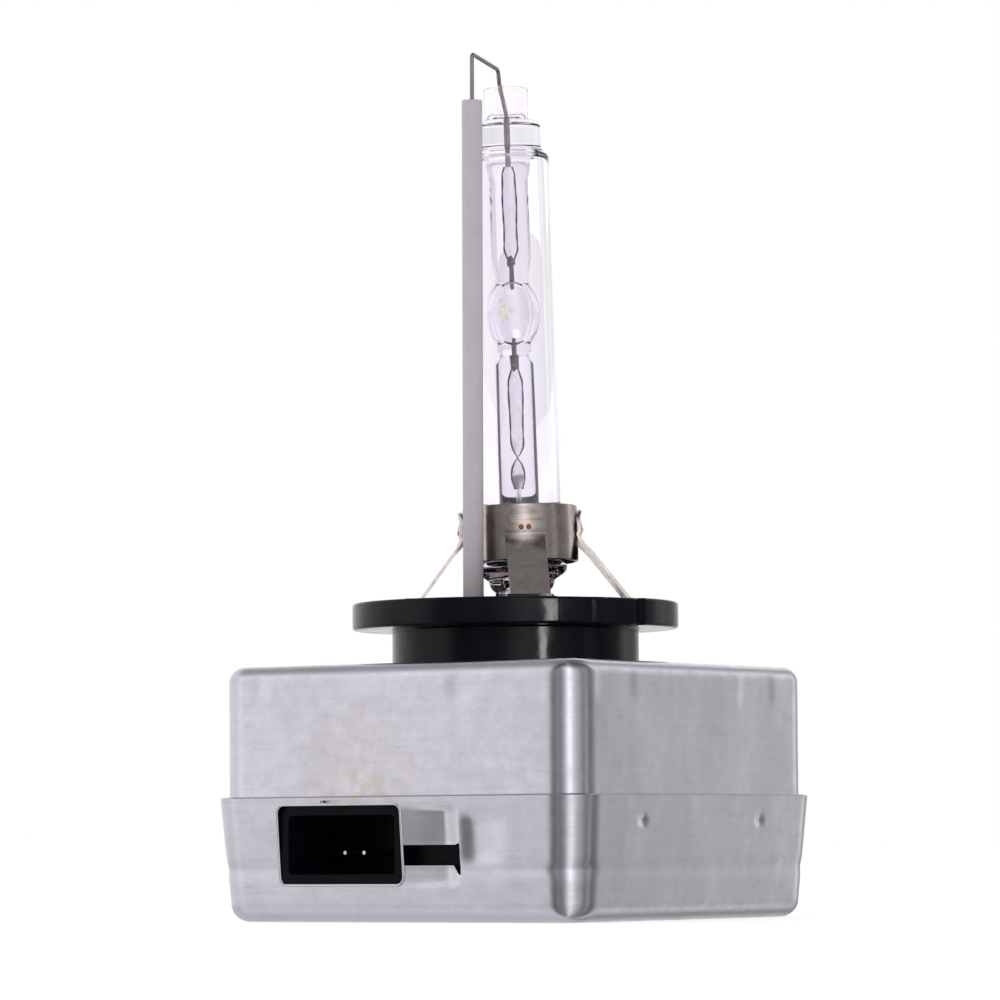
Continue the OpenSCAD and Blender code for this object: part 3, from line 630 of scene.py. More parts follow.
class OBJECT_OT_bulb_glass(BulbOperator, bpy.types.Operator):
    """Adds the fused quartz burner: jacket, discharge vessel, stems and open stub"""

    bl_idname = "object.bulb_glass"
    bl_label = "Burner glass"

    def build(self, s):
        foot = 0.9
        seal_top, stub_top, bore = stub_sizes(s)
        jacket_bore, neck = s.jacket - s.jacket_wall, s.jacket - 0.7
        outer = (
            [(0, foot + 2.6), (bore * 0.6, foot + 2.5), (bore, foot + 2.0), (bore, -8 + 0.2)]
            + arc(s.stem - 0.25, -8 + 0.25, 0.25, -120, 0, 4)
            + arc(s.stem + 0.3, foot - 0.35, 0.3, 180, 120, 4)
            + arc(s.jacket - 2.0, foot + 1.2, 1.2, -80, 0, 8)
            + arc(s.jacket + 0.45 - 0.9, foot + 2.5, 0.9, -70, 70, 12)
            + [(s.jacket + 0.12, foot + 4.1), (s.jacket, foot + 4.8)]
            + arc(s.jacket - 0.6, s.jacket_top - 0.6, 0.6, 0, 60, 6)
            + [(neck + 0.05, s.jacket_top + 0.35), (neck, s.jacket_top + 0.7)]
            + arc(neck - 0.5, seal_top - 0.5, 0.5, 0, 80, 6)
            + arc(s.stem + 0.25, seal_top + 0.25, 0.25, 260, 180, 4)
            + arc(s.stem - 0.2, stub_top - 0.2, 0.2, 0, 90, 4)
            + arc(bore + 0.15, stub_top - 0.15, 0.15, 90, 180, 4)
            + [(bore, seal_top + 0.6), (bore * 0.7, seal_top - 0.1), (0, seal_top - 0.3)]
        )
        shell = turned(outer, loop=False)

        # The gap between the jacket and the vessel, whose inner wall is flattened where a foil is sealed in
        low, high = foot + 4.8, s.jacket_top - 0.4
        waist = s.pinch - 0.1
        bulge = [(max(waist, s.vessel * math.cos(a)), s.arc + s.vessel_half * math.sin(a))
                 for a in (math.radians(-86 + 172 * i / 36) for i in range(37))]
        gap = (
            arc(jacket_bore - 0.8, low + 0.8, 0.8, -90, 0, 8)
            + arc(jacket_bore - 0.7, high - 0.7, 0.7, 0, 90, 8)
            + [(s.stem, high - 0.3), (s.stem - 0.02, high - 1.0)]
            + [(s.pinch, high - 2.4), (s.pinch, s.arc + s.vessel_half + 1.8)]
            + bulge[::-1]
            + [(s.pinch - 0.35, s.arc - s.vessel_half - 0.45), (s.pinch - 0.35, s.arc - s.vessel_half - 0.75)]
            + [(s.pinch, s.arc - s.vessel_half - 1.3), (s.pinch, low + 2.8),
               (s.stem, low + 1.2), (s.stem, low + 0.3)]
        )

        def pressed(angle, r, z):
            if r > s.stem + 0.01 or abs(z - s.arc) < s.vessel_half:
                return r
            reach = plateau(low + 0.9, low + 3.2, high - 3.2, high - 0.9, z)
            away = smooth_step(0.2, 2.2, abs(z - s.arc) - s.vessel_half)
            return r * (1 + 0.13 * reach * away * math.cos(2 * (angle - foil_turn)))

        hollow = turned(gap, radius=pressed)
        cavity_r, cavity_half = s.vessel - VESSEL_WALL, s.vessel_half - 0.5
        cavity = turned([(max(0.0, cavity_r * math.cos(a)), s.arc + cavity_half * math.sin(a))
                         for a in (math.radians(-90 + 180 * i / 32) for i in range(33))], loop=False)
        make_piece("burner_glass", merged(shell, None, hollow, cavity), quartz_drawn(s), "clear_glass",
                   ("outer_bulb", "arc_tube"), sharp=math.radians(60), place=burner_place(s))


foil_turn = math.radians(34)  # the foils stand across the front leg's direction
# Distance of each foil from its electrode's tip, its length, and how far it has twisted in the sealing
foils = {
    "lower": SimpleNamespace(side=-1, reach=3.0, length=12.0, twist=math.radians(165)),
    "upper": SimpleNamespace(side=1, reach=2.9, length=9.4, twist=0.0),
}


class OBJECT_OT_bulb_electrodes(BulbOperator, bpy.types.Operator):
    """Adds the electrodes, the overwind, the foils and the lower lead"""

    bl_idname = "object.bulb_electrodes"
    bl_label = "Electrodes and foils"

    def build(self, s):
        place, tungsten, molybdenum = burner_place(s), tungsten_drawn(s), molybdenum_etched(s)
        for name, foil in foils.items():
            side = foil.side
            tip = s.arc + side * s.gap / 2
            base = tip + side * foil.reach
            r = s.electrode
            rod = [(0, tip), (r * 0.6, tip + side * 0.03), (r, tip + side * 0.14), (r, tip + side * 1.0),
                   (r * 0.93, tip + side * 1.2), (r * 0.93, base), (0, base)]
            make_piece(name + "_electrode_rod", turned(rod, 32, loop=False), tungsten, "tungsten",
                       (name + "_electrode",), place=place)
            # Etched foil: thin in the middle, beaded along its edges, and narrowed where it is welded
            rings, beads = [], ([], [])
            for i in range(49):
                t = i / 48
                z = base + side * foil.length * t
                ripple = 1 + 0.06 * math.sin(t * 11 + side)
                width = 0.5 * min(1.0, 0.35 + 5 * t, 0.55 + 6 * (1 - t)) * ripple
                turn = Matrix.Rotation(foil_turn + foil.twist * smooth_step(0.55, 0.92, t), 3, "Z")
                ring = [(-width, 0), (0, -0.04), (width, 0), (0, 0.04)]
                rings.append([turn @ Vector((x, y, z)) for x, y in ring])
                for bead, x in zip(beads, (-width, width)):
                    bead.append(turn @ Vector((x, 0, z)))
            make_piece(name + "_foil_strip", skin(rings), molybdenum, "molybdenum", (name + "_foil",),
                       place=place)
            edges = [wire(bead, lambda share: 0.045 + 0.03 * abs(math.sin(share * 17)), 8) for bead in beads]
            make_piece(name + "_foil_edges", merged(*edges), tungsten, "molybdenum", place=place)
            # Weld that joins the foil to its rod
            knot = bmesh.new()
            bmesh.ops.create_icosphere(knot, subdivisions=3, radius=0.3)
            for v in knot.verts:
                v.co *= 1 + 0.5 * noise.noise(v.co * 5 + Vector((side, 2, 3)))
                v.co.z *= 1.7
            bmesh.ops.translate(knot, verts=knot.verts, vec=(0, 0, base))
            make_piece(name + "_foil_weld", knot, tungsten, "tungsten", place=place)
        # Overwind on the lower rod, from the foil up to the vessel
        low = s.arc - s.gap / 2 - foils["lower"].reach + 0.1
        high = s.arc - s.vessel_half - 0.2
        pitch, r = 0.16, s.electrode + 0.09
        turns = (high - low) / pitch
        coil = [polar(r, TAU * t, low + pitch * t + 0.08)
                for t in (i / 14 for i in range(int(turns * 14) - 14))]
        make_piece("electrode_overwind", wire(coil, 0.075, 8), tungsten, "tungsten", ("electrode_coil",),
                   place=place)
        base = s.arc - s.gap / 2 - foils["lower"].reach - foils["lower"].length
        lead_end = span("lower_lead")[0].z
        lead = [(0, base - 0.02), (0.2, base - 0.05), (0.2, lead_end + 0.1), (0.14, lead_end), (0, lead_end)]
        make_piece("lower_lead_pin", turned(lead, 24, loop=False), molybdenum, "molybdenum", ("lower_lead",),
                   place=place)


class OBJECT_OT_bulb_salts(BulbOperator, bpy.types.Operator):
    """Adds the grains of halide salt on the vessel's inner wall"""

    bl_idname = "object.bulb_salts"
    bl_label = "Halide salts"

    def build(self, s):
        draw, grains = random.Random(7), []
        seat = s.vessel - VESSEL_WALL - 0.34  # the grains sink into the wall's inner face
        for degrees, height in ((-120, 1.1), (-95, 0.5), (-105, -0.5), (-60, 0.2), (-112, 0.2), (-88, -0.3)):
            grain = bmesh.new()
            bmesh.ops.create_icosphere(grain, subdivisions=3, radius=0.23 + 0.07 * draw.random())
            seed = Vector((draw.random(), draw.random(), draw.random())) * 20
            for v in grain.verts:
                v.co *= 1 + 0.35 * noise.noise(v.co * 5 + seed)
                v.co.x *= 0.7
            a = math.radians(degrees)
            bmesh.ops.transform(grain, verts=grain.verts, matrix=(
                Matrix.Translation(polar(seat, a, s.arc + height)) @ Matrix.Rotation(a, 4, "Z")))
            grains.append(grain)
        make_piece("salt_grains", merged(*grains), halide_crystals_painted_glow(s), "salts", ("halide_salts",),
                   place=burner_place(s))


class OBJECT_OT_bulb_lead(BulbOperator, bpy.types.Operator):
    """Adds the return lead: out of the stub, over the top and down through the ceramic tube"""

    bl_idname = "object.bulb_lead"
    bl_label = "Return lead"

    def build(self, s):
        place = burner_place(s)
        seal_top, stub_top, bore = stub_sizes(s)
        foil_end = s.arc + s.gap / 2 + foils["upper"].reach + foils["upper"].length
        sleeve = sleeve_place()
        peak = lead_high.z - 0.16
        edge = place @ Vector((-0.2, -bore / 2, stub_top + 0.2))
        crook = Vector((edge.x * 0.8 + 0.1, edge.y - 0.7, stub_top + (peak - stub_top) * 0.7))
        route = rounded_route([
            place @ Vector((0, 0, foil_end)), place @ Vector((0, 0, seal_top + 0.4)), edge, crook,
            sleeve @ Vector((0, 0, peak)), sleeve @ Vector((0, 0, ceramic_high.z)),
            sleeve @ Vector((0, 0, lead_low.z))], 0.45)
        lead_radius = 0.2
        make_piece("lead_wire", wire(route, lead_radius), nickel_drawn(s), "nickel_wire", ("return_lead",))


class OBJECT_OT_bulb_ceramic(BulbOperator, bpy.types.Operator):
    """Adds the ceramic tube over the return lead"""

    bl_idname = "object.bulb_ceramic"
    bl_label = "Ceramic tube"

    def build(self, s):
        r, bore, top, low = (ceramic_high.x - ceramic_low.x) / 2, 0.38, ceramic_high.z, ceramic_low.z
        profile = (arc(bore + 0.1, top - 0.1, 0.1, 180, 90, 3) + arc(r - 0.12, top - 0.12, 0.12, 90, 0, 4)
                   + arc(r - 0.1, low + 0.1, 0.1, 0, -90, 3) + [(bore, low), (bore, low + 0.3)])
        make_piece("ceramic_sleeve", turned(profile, 64), alumina_sintered(s), "ceramic", ("ceramic_tube",),
                   place=sleeve_place())


class OBJECT_OT_bulb_clamp(BulbOperator, bpy.types.Operator):
    """Adds the clamp band with its seam, and the wavy spring strip inside it"""

    bl_idname = "object.bulb_clamp"
    bl_label = "Clamp band and spring"

    def build(self, s):
        steel, place = stainless_rolled(s), burner_place(s)
        seam = s.leg_turn + math.radians(225)  # the band's ends meet between two legs, away from the front one
        low, high, r = s.band_low, s.band_low + s.band_height, s.band
        edge = s.sheet * 0.35
        section = (arc(r - edge, low + edge, edge, -90, 0, 3) + [(r, low + 0.9), (r, high - 0.9)]
                   + arc(r - edge, high - edge, edge, 0, 90, 3)
                   + [(r - s.sheet + 0.05, high), (r - s.sheet, high - 0.05), (r - s.sheet, low + 0.05),
                      (r - s.sheet + 0.05, low)])
        half_gap = 0.15 / r
        steps = 180
        rings = []
        for i in range(steps + 1):
            a = seam + half_gap + (TAU - 2 * half_gap) * i / steps
            rings.append([polar(q, a, z) for q, z in section])
        make_piece("clamp_ring", skin(rings), steel, "stainless", ("clamp_band",), place=place)

        inner, outer, thick, waves = s.jacket + 0.02, r - s.sheet - 0.22, 0.2, 8
        rings = []
        for i in range(241):
            a = seam + 0.06 + (TAU - 0.12) * i / 240
            q = (inner + outer) / 2 + (outer - inner) / 2 * math.cos(waves * a)
            z0, z1 = low + 2.0, high - 0.3
            rings.append([polar(w, a, z)
                          for w, z in ((q, z0), (q + thick, z0), (q + thick, z1), (q, z1))])
        make_piece("wave_spring", skin(rings), steel, "stainless", ("clamp_spring",), place=place)


class OBJECT_OT_bulb_legs(BulbOperator, bpy.types.Operator):
    """Adds the four support legs with their curved tabs and spot welds"""

    bl_idname = "object.bulb_legs"
    bl_label = "Support legs"

    def build(self, s):
        place = burner_place(s)
        tab_r = s.band + 0.02 + s.sheet / 2
        meet, top = s.band_low + 1.9, s.band_low + s.band_height - 0.35
        half = s.leg_width / 2
        line = rounded_route([Vector((s.leg_root, 0, -1.9)), Vector((s.leg_root, 0, -0.35)),
                              Vector((tab_r + 0.35, 0, meet - 0.3)), Vector((tab_r, 0, meet + 0.6)),
                              Vector((tab_r, 0, top))], 0.35, 6)
        rows = [line[0]]
        for a, b in zip(line, line[1:]):
            count = max(1, round((b - a).length / 0.15))
            rows += [a.lerp(b, (k + 1) / count) for k in range(count)]
        tips = [t / 14 for t in range(15)]  # shares of the way round the tab's rounded end
        body = [p for p in rows if p.z < top - half]
        body += [Vector((tab_r, 0, top - half + half * math.sin(t * math.pi / 2 * 0.985))) for t in tips]
        # The tab is domed above its crease, where the spot welds pulled it against the band
        for p in body:
            p.x += 0.16 * plateau(meet + 0.5, meet + 1.0, meet + 1.5, top - 1.0, p.z)
            flare = max(0.0, p.z - top + 0.8)  # its end stands off the band
            p.x += 0.18 * flare * smooth_step(0.0, 0.35, flare)
        rings = []
        for i, p in enumerate(body):
            along = (body[min(i + 1, len(body) - 1)] - body[max(i - 1, 0)]).normalized()
            out = Vector((along.z, 0, -along.x))
            above = max(0.0, p.z - (top - half))
            width = math.sqrt(max(0.0, half * half - above * above))
            wrap = smooth_step(meet - 1.4, meet + 0.6, p.z)
            ring = []
            for side in (1, -1):
                for k in range(-8, 9):
                    y = side * width * k / 8
                    sag = wrap * (tab_r - math.sqrt(tab_r ** 2 - y * y))
                    ring.append(p + Vector((-sag, y, 0)) + out * (side * s.sheet / 2))
            rings.append(ring)
        weld_side, weld_radius = 0.34, 0.27
        legs, welds = [], []
        for turn in range(4):
            spin = place @ Matrix.Rotation(s.leg_turn + turn * TAU / 4, 4, "Z")
            leg = skin(rings)
            bmesh.ops.transform(leg, verts=leg.verts, matrix=spin)
            legs.append(leg)
            for y in (-weld_side, weld_side):
                weld = bmesh.new()
                bmesh.ops.create_uvsphere(weld, u_segments=16, v_segments=8, radius=weld_radius)
                face = tab_r + s.sheet / 2 + 0.13
                spot = (Matrix.Translation((math.sqrt(face ** 2 - y * y), y, meet + 1.15))
                        @ Matrix.Diagonal((0.3, 1, 1, 1)))
                bmesh.ops.transform(weld, verts=weld.verts, matrix=spin @ spot)
                welds.append(weld)
        make_piece("leg_strips", merged(*legs), stainless_rolled(s), "stainless", ("support_legs",),
                   bevel=0.04)
        make_piece("spot_welds", merged(*welds), weld_tinted(s), "stainless")


class OBJECT_OT_bulb_flange(BulbOperator, bpy.types.Operator):
    """Adds the moulded flange with its keyed rim, its neck, the leg bosses and the hidden roof plate"""

    bl_idname = "object.bulb_flange"
    bl_label = "Base flange"

    def build(self, s):
        back, recess, chamfer = -s.flange_t, 0.6, 0.3
        dish, depth, hole = s.leg_root + 1, 0.5, 4.1
        roof_top, roof_low = can_high.z - 0.65, can_high.z - 2.15
        notches = [(-40.5, -4.2), (113.0, 133.0)]
        tooth = (-26.4, -21.7)

        def keyed(angle, r, z):
            if r < s.flange - chamfer - 0.01:
                return r
            degrees = (math.degrees(angle) + 180) % 360 - 180
            for start, end in notches:
                if start <= degrees <= end:
                    inside = tooth[0] <= degrees <= tooth[1]
                    return r - (recess - 0.14 if inside else recess)
            return r

        profile = (
            [(hole, -depth), (dish - 0.1, -depth), (dish, -depth + 0.1), (dish, -0.12)]
            + arc(dish + 0.12, -0.12, 0.12, 180, 90, 3)
            + arc(s.flange - chamfer, -chamfer, chamfer, 90, 0, 5)
            + arc(s.flange - chamfer, back + chamfer, chamfer, 0, -90, 5)
            + [(s.neck + 0.15, back), (s.neck, back - 0.15), (s.neck, can_high.z), (s.neck, roof_low),
               (s.neck - 2, roof_low), (s.neck - 2, back - 0.45), (hole, back - 0.45)]
        )
        body = turned(profile, 360, keyed)
        roof_half = can_high.x - 1.6
        plates = [square_ring(roof_half, 2.6, z, 4, 8) for z in (roof_low, roof_top)]
        holes = [[Vector((p.x, p.y, 0)).normalized() * (s.neck - 1) + Vector((0, 0, p.z)) for p in ring]
                 for ring in plates]
        roof = skin([plates[0], plates[1], holes[1], holes[0]], loop=True)
        shift = math.tan(s.lean) * s.pivot
        bosses = []
        for turn in range(4):
            boss = block((2.6, s.leg_width + 0.9, 0.9), Vector((s.leg_root - 0.25, 0, -0.05)), 0.18)
            bmesh.ops.transform(boss, verts=boss.verts, matrix=(
                Matrix.Translation((shift, 0, 0)) @ Matrix.Rotation(s.leg_turn + turn * TAU / 4, 4, "Z")))
            for v in boss.verts:
                reach = math.hypot(v.co.x, v.co.y)
                if reach > dish - 0.02:
                    v.co.x *= (dish - 0.02) / reach
                    v.co.y *= (dish - 0.02) / reach
            bosses.append(boss)
        make_piece("flange_moulding", merged(body, roof, *bosses), black_moulded(s), "black_plastic",
                   ("base_flange",))


def pressed_patch(u, v, box, depth=0.04, soft=0.8):
    """Depth at (u, v) of a shallow pressed patch with soft edges; box is low u, high u, low v, high v."""
    u0, u1, v0, v1 = box
    return (depth * plateau(u0 - soft, u0 + soft, u1 - soft, u1 + soft, u)
            * plateau(v0 - soft, v0 + soft, v1 - soft, v1 + soft, v))


def can_wave(p):
    """How far the can's wall stands in from flat at a point: pressed patches and the draw's slight swell."""
    depth = 0.05 * noise.noise(p * 0.11) + 0.05 * abs(noise.noise(p * 0.05 + Vector((9, 9, 9))))
    patch_rows = (-9.8, -6.9)
    if p.x > can_high.x - 1:
        for sides in ((-16.9, -10.7), (7.9, 13.6)):
            depth += pressed_patch(p.y, p.z, (*sides, *patch_rows))
    if p.y < can_low.y + 1:
        for sides in ((-16.1, -14.2), (6.5, 8.3)):
            depth += pressed_patch(p.x, p.z, (*sides, *patch_rows))
    return max(0.0, depth)


def pressed_in(rings, depth_at):
    """Rings with each point moved towards the axis, so that its side moves in by depth_at(point)."""
    made = []
    for ring in rings:
        made.append([])
        for p in ring:
            share = 1 - depth_at(p) / max(abs(p.x), abs(p.y))
            made[-1].append(Vector((p.x * share, p.y * share, p.z)))
    return made


class OBJECT_OT_bulb_can(BulbOperator, bpy.types.Operator):
    """Adds the deep-drawn upper can with its rounded top edges"""

    bl_idname = "object.bulb_can"
    bl_label = "Upper can"

    def build(self, s):
        half, corner, edge, t = can_high.x, 3.0, 1.5, s.case_sheet
        top, low, hole = can_high.z, can_low.z, s.neck + 0.1
        rows = 34
        walls = [low + (top - edge - low) * i / rows for i in range(rows + 1)]
        rings = [square_ring(half, corner, z) for z in walls]
        rings += [square_ring(half - edge + r, corner - edge + r, z)
                  for r, z in arc(0, top - edge, edge, 12, 90, 7)]
        inner = [square_ring(half - edge + r, corner - edge + r, z)
                 for r, z in arc(0, top - edge, edge - t, 90, 0, 6)]
        inner += [square_ring(half - t, corner - t, z) for z in walls[::-1]]
        lip = [[Vector((p.x, p.y, 0)).normalized() * hole + Vector((0, 0, z)) for p in rings[0]]
               for z in (top, top - t)]
        shell = pressed_in(rings, can_wave) + lip + pressed_in(inner, can_wave)
        piece = make_piece("can_shell", skin(shell, loop=True), aluminium_drawn(s), "case_sheet",
                           ("upper_can",))
        mouth = block((socket.w + 0.4, 8, socket.h + 8), Vector((socket.x, -half, socket.z - 4 + 0.2)))
        cut_from(piece, [mouth])


def cover_press(p):
    """How far the cover's wall stands in at a point: ramps at the latch, dimples, crease and slight swell."""
    depth = 0.03 * abs(noise.noise(p * 0.13 + Vector((3, 1, 4))))
    if p.y < cover_low.y + 1.2:
        # Beside the socket the latch ramps slope in to the right, and a dent lies past the slot's end
        slant = max(0.0, min(1.0, (p.x - 1.2) / 5.2)) * (1 - smooth_step(6.4, 7.5, p.x))
        above = plateau(-23.6, -22.9, -19.9, -19.2, p.z)
        below = plateau(-26.9, -26.2, -24.9, -24.4, p.z)
        # With ramps of 0.75 and 0.5 and a dent of 0.32, the cuts in the cover left nothing of it
        depth += slant * (0.5 * above + 0.3 * below)
        depth += 0.22 * plateau(7.6, 9.6, 9.6, 13.5, p.x) * plateau(-25.2, -23.9, -21.0, -19.7, p.z)
    if p.x > cover_high.x - 1.2:
        dimple_z, dimple_depth, dimple_spread = -20.9, 0.2, 0.14
        for dimple_y in (-10.2, 10.2):
            away = (p.y - dimple_y) ** 2 + (p.z - dimple_z) ** 2
            depth += dimple_depth * math.exp(-away / dimple_spread)
    # The crease bites deepest into the upright corner beside the socket
    corner = smooth_step(cover_high.x - 4.2, cover_high.x - 2.6, min(p.x, -p.y))
    return depth + 0.09 * corner * math.exp(-((p.z - crease_z) / 0.55) ** 2)


class OBJECT_OT_bulb_cover(BulbOperator, bpy.types.Operator):
    """Adds the lower cover: a flared tray with its crease, latch ramps and cut-outs"""

    bl_idname = "object.bulb_cover"
    bl_label = "Lower cover"

    def build(self, s):
        t, rim, floor = s.case_sheet, cover_high.z, cover_low.z
        half, foot, edge = cover_high.x, cover_high.x - 0.8, 1.8
        slope = (half - foot) / (rim - floor - edge)

        def wall(z, inset):
            step = 0.07 * math.exp(-((z - crease_z) / 0.6) ** 2)
            return half - slope * (rim - z) - inset - step

        rows = 44
        heights = [rim - 0.12 - (rim - 0.12 - floor - edge) * i / rows for i in range(rows + 1)]
        rings = [square_ring(half - 0.12, 3.3, rim)]
        rings += [square_ring(wall(z, 0), 3.4 - 0.4 * (rim - z) / (rim - floor), z) for z in heights]
        rings += [square_ring(foot - edge + r, 3.0 - edge + r, z)
                  for r, z in arc(0, floor + edge, edge, -12, -90, 7)]
        rings += [square_ring(foot - k, max(0.3, 3.0 - k), floor) for k in (4, 9, 14)]
        centre = [[Vector((p.x * 0.02, p.y * 0.02, floor + rise)) for p in rings[-1]] for rise in (0, t)]
        inner = [square_ring(foot - k, max(0.3, 3.0 - k), floor + t) for k in (14, 9, 4)]
        inner += [square_ring(foot - edge + r, 3.0 - edge + r, z)
                  for r, z in arc(0, floor + edge, edge - t, -90, -6, 6)]
        inner += [square_ring(wall(z, t), 2.9 - 0.4 * (rim - z) / (rim - floor), z) for z in heights[::-1]]
        inner += [square_ring(half - t + 0.08, 2.9, rim)]
        shell = pressed_in(rings, cover_press) + centre + pressed_in(inner, cover_press)
        piece = make_piece("cover_tray", skin(shell, loop=True), aluminium_drawn(s), "case_sheet",
                           ("lower_cover",))
        mouth = block((socket.w + 0.2, 6, socket.h + 0.2), Vector((socket.x, -half, socket.z)), 0.8)
        slit = block((2.6, 4, 0.22), Vector((socket.x - 0.7, -half, rim - 0.5)))
        # The slot widens at its far end, where its edge was torn down
        start, end = latch.x - latch.w / 2 - 0.5, latch.x + latch.w / 2 + 0.5
        low, high = latch.z - latch.h / 2, latch.z + latch.h / 2
        torn = [(start, high), (end - 0.5, high), (end - 0.1, high + 0.15), (end, high),
                (end - 0.05, low - 0.9), (end - 0.3, low - 0.8), (end - 0.9, low), (start, low)]
        slot = skin([[Vector((x, y, z)) for x, z in torn] for y in (-half - 3, -half + 3)])
        cut_from(piece, [mouth, slot, slit])
        # Turned edge of the sheet round the socket's mouth
        w, h, r = socket.w / 2 + 0.15, socket.h / 2 + 0.15, 0.8
        outline = (arc(socket.x + w - r, socket.z + h - r, r, 0, 90)
                   + arc(socket.x - w + r, socket.z + h - r, r, 90, 180)
                   + arc(socket.x - w + r, socket.z - h + r, r, 180, 270)
                   + arc(socket.x + w - r, socket.z - h + r, r, 270, 360))
        route = [Vector((x, max(0.03 - wall(z, 0), 0.17 - half), z)) for x, z in outline]
        make_piece("cover_lip", wire(route, 0.15, 12, loop=True), aluminium_drawn(s), "case_sheet")


class OBJECT_OT_bulb_socket(BulbOperator, bpy.types.Operator):
    """Gives the socket's moulding its finish and adds the two contact pins"""

    bl_idname = "object.bulb_socket"
    bl_label = "Socket and pins"

    def build(self, s):
        housing = frame["nodes"]["igniter_housing"]
        housing.data.materials.clear()
        housing.data.materials.append(black_moulded(s, "plastic_black_satin", 0.3, 0.25))
        weld = housing.modifiers.new("weld", "WELD")
        weld.merge_threshold = 0.001 * MM
        add_bevel(housing, 0.12)
        tin = plain_finish("brass_tinned", "#D8D3C4", 0.25, 1.0, 0.6, 0.003, 0.85)
        pins, r = [], 0.32
        for x in (pins_low.x + r, pins_high.x - r):
            bend_y, height = pins_high.y - r, pins_high.z - r
            route = rounded_route([Vector((x, pins_low.y, height)), Vector((x, bend_y, height)),
                                   Vector((x, bend_y, pins_low.z))], 0.6)
            route[1:1] = [Vector((x, pins_low.y + d, height)) for d in (0.25, 0.6, 2.0)]
            steps = len(route) - 1
            pins.append(wire(route, lambda share: r * min(1.0, 0.55 + 0.45 * share * steps), 24))
        make_piece("contact_pins", merged(*pins), tin, "contact_brass", ("connector_pins",))


class OBJECT_OT_bulb_inside(BulbOperator, bpy.types.Operator):
    """Gives the parts inside the igniter their finishes"""

    bl_idname = "object.bulb_inside"
    bl_label = "Igniter's inside"

    def build(self, s):
        # By slot; plain_finish takes name, colour, roughness, metallic, and grain and relief in millimetres
        finishes = {
            "ceramic": alumina_sintered(s),
            "stainless": stainless_rolled(s),
            "contact_brass": plain_finish("brass_stamped", "#C9A964", 0.3, 1.0, 0.8, 0.004),
            "red_insulation": plain_finish("silicone_red_extruded", "#8E1F17", 0.5, 0.0, 1.0, 0.02),
            "board_laminate": plain_finish("laminate_green_masked", "#1F5A36", 0.35, 0.0, 1.5, 0.01),
            "ferrite": plain_finish("ferrite_ground", "#3A393C", 0.6, 0.0, 0.2, 0.01),
            "bobbin_plastic": plain_finish("polyester_cream_moulded", "#D8C79C", 0.45, 0.0, 2.0, 0.01, 0.9),
            "copper_winding": plain_finish("copper_enamelled_wound", "#9C5A2C", 0.3, 1.0, 0.25, 0.05),
            "capacitor_case": plain_finish("epoxy_blue_cast", "#26386E", 0.3, 0.0, 1.2, 0.01),
            "resistor_body": plain_finish("lacquer_tan_dipped", "#B98F62", 0.35, 0.0, 0.5, 0.02),
            "silicone": plain_finish("compound_grey_cast", "#3C3C3F", 0.55, 0.0, 2.5, 0.03),
        }
        for row in frame["record"]["subparts"]:
            node, slot = frame["nodes"][row["node"]], row["material_slot"]
            if node.hide_render or slot not in finishes:
                continue
            node.data.materials.clear()
            node.data.materials.append(finishes[slot])


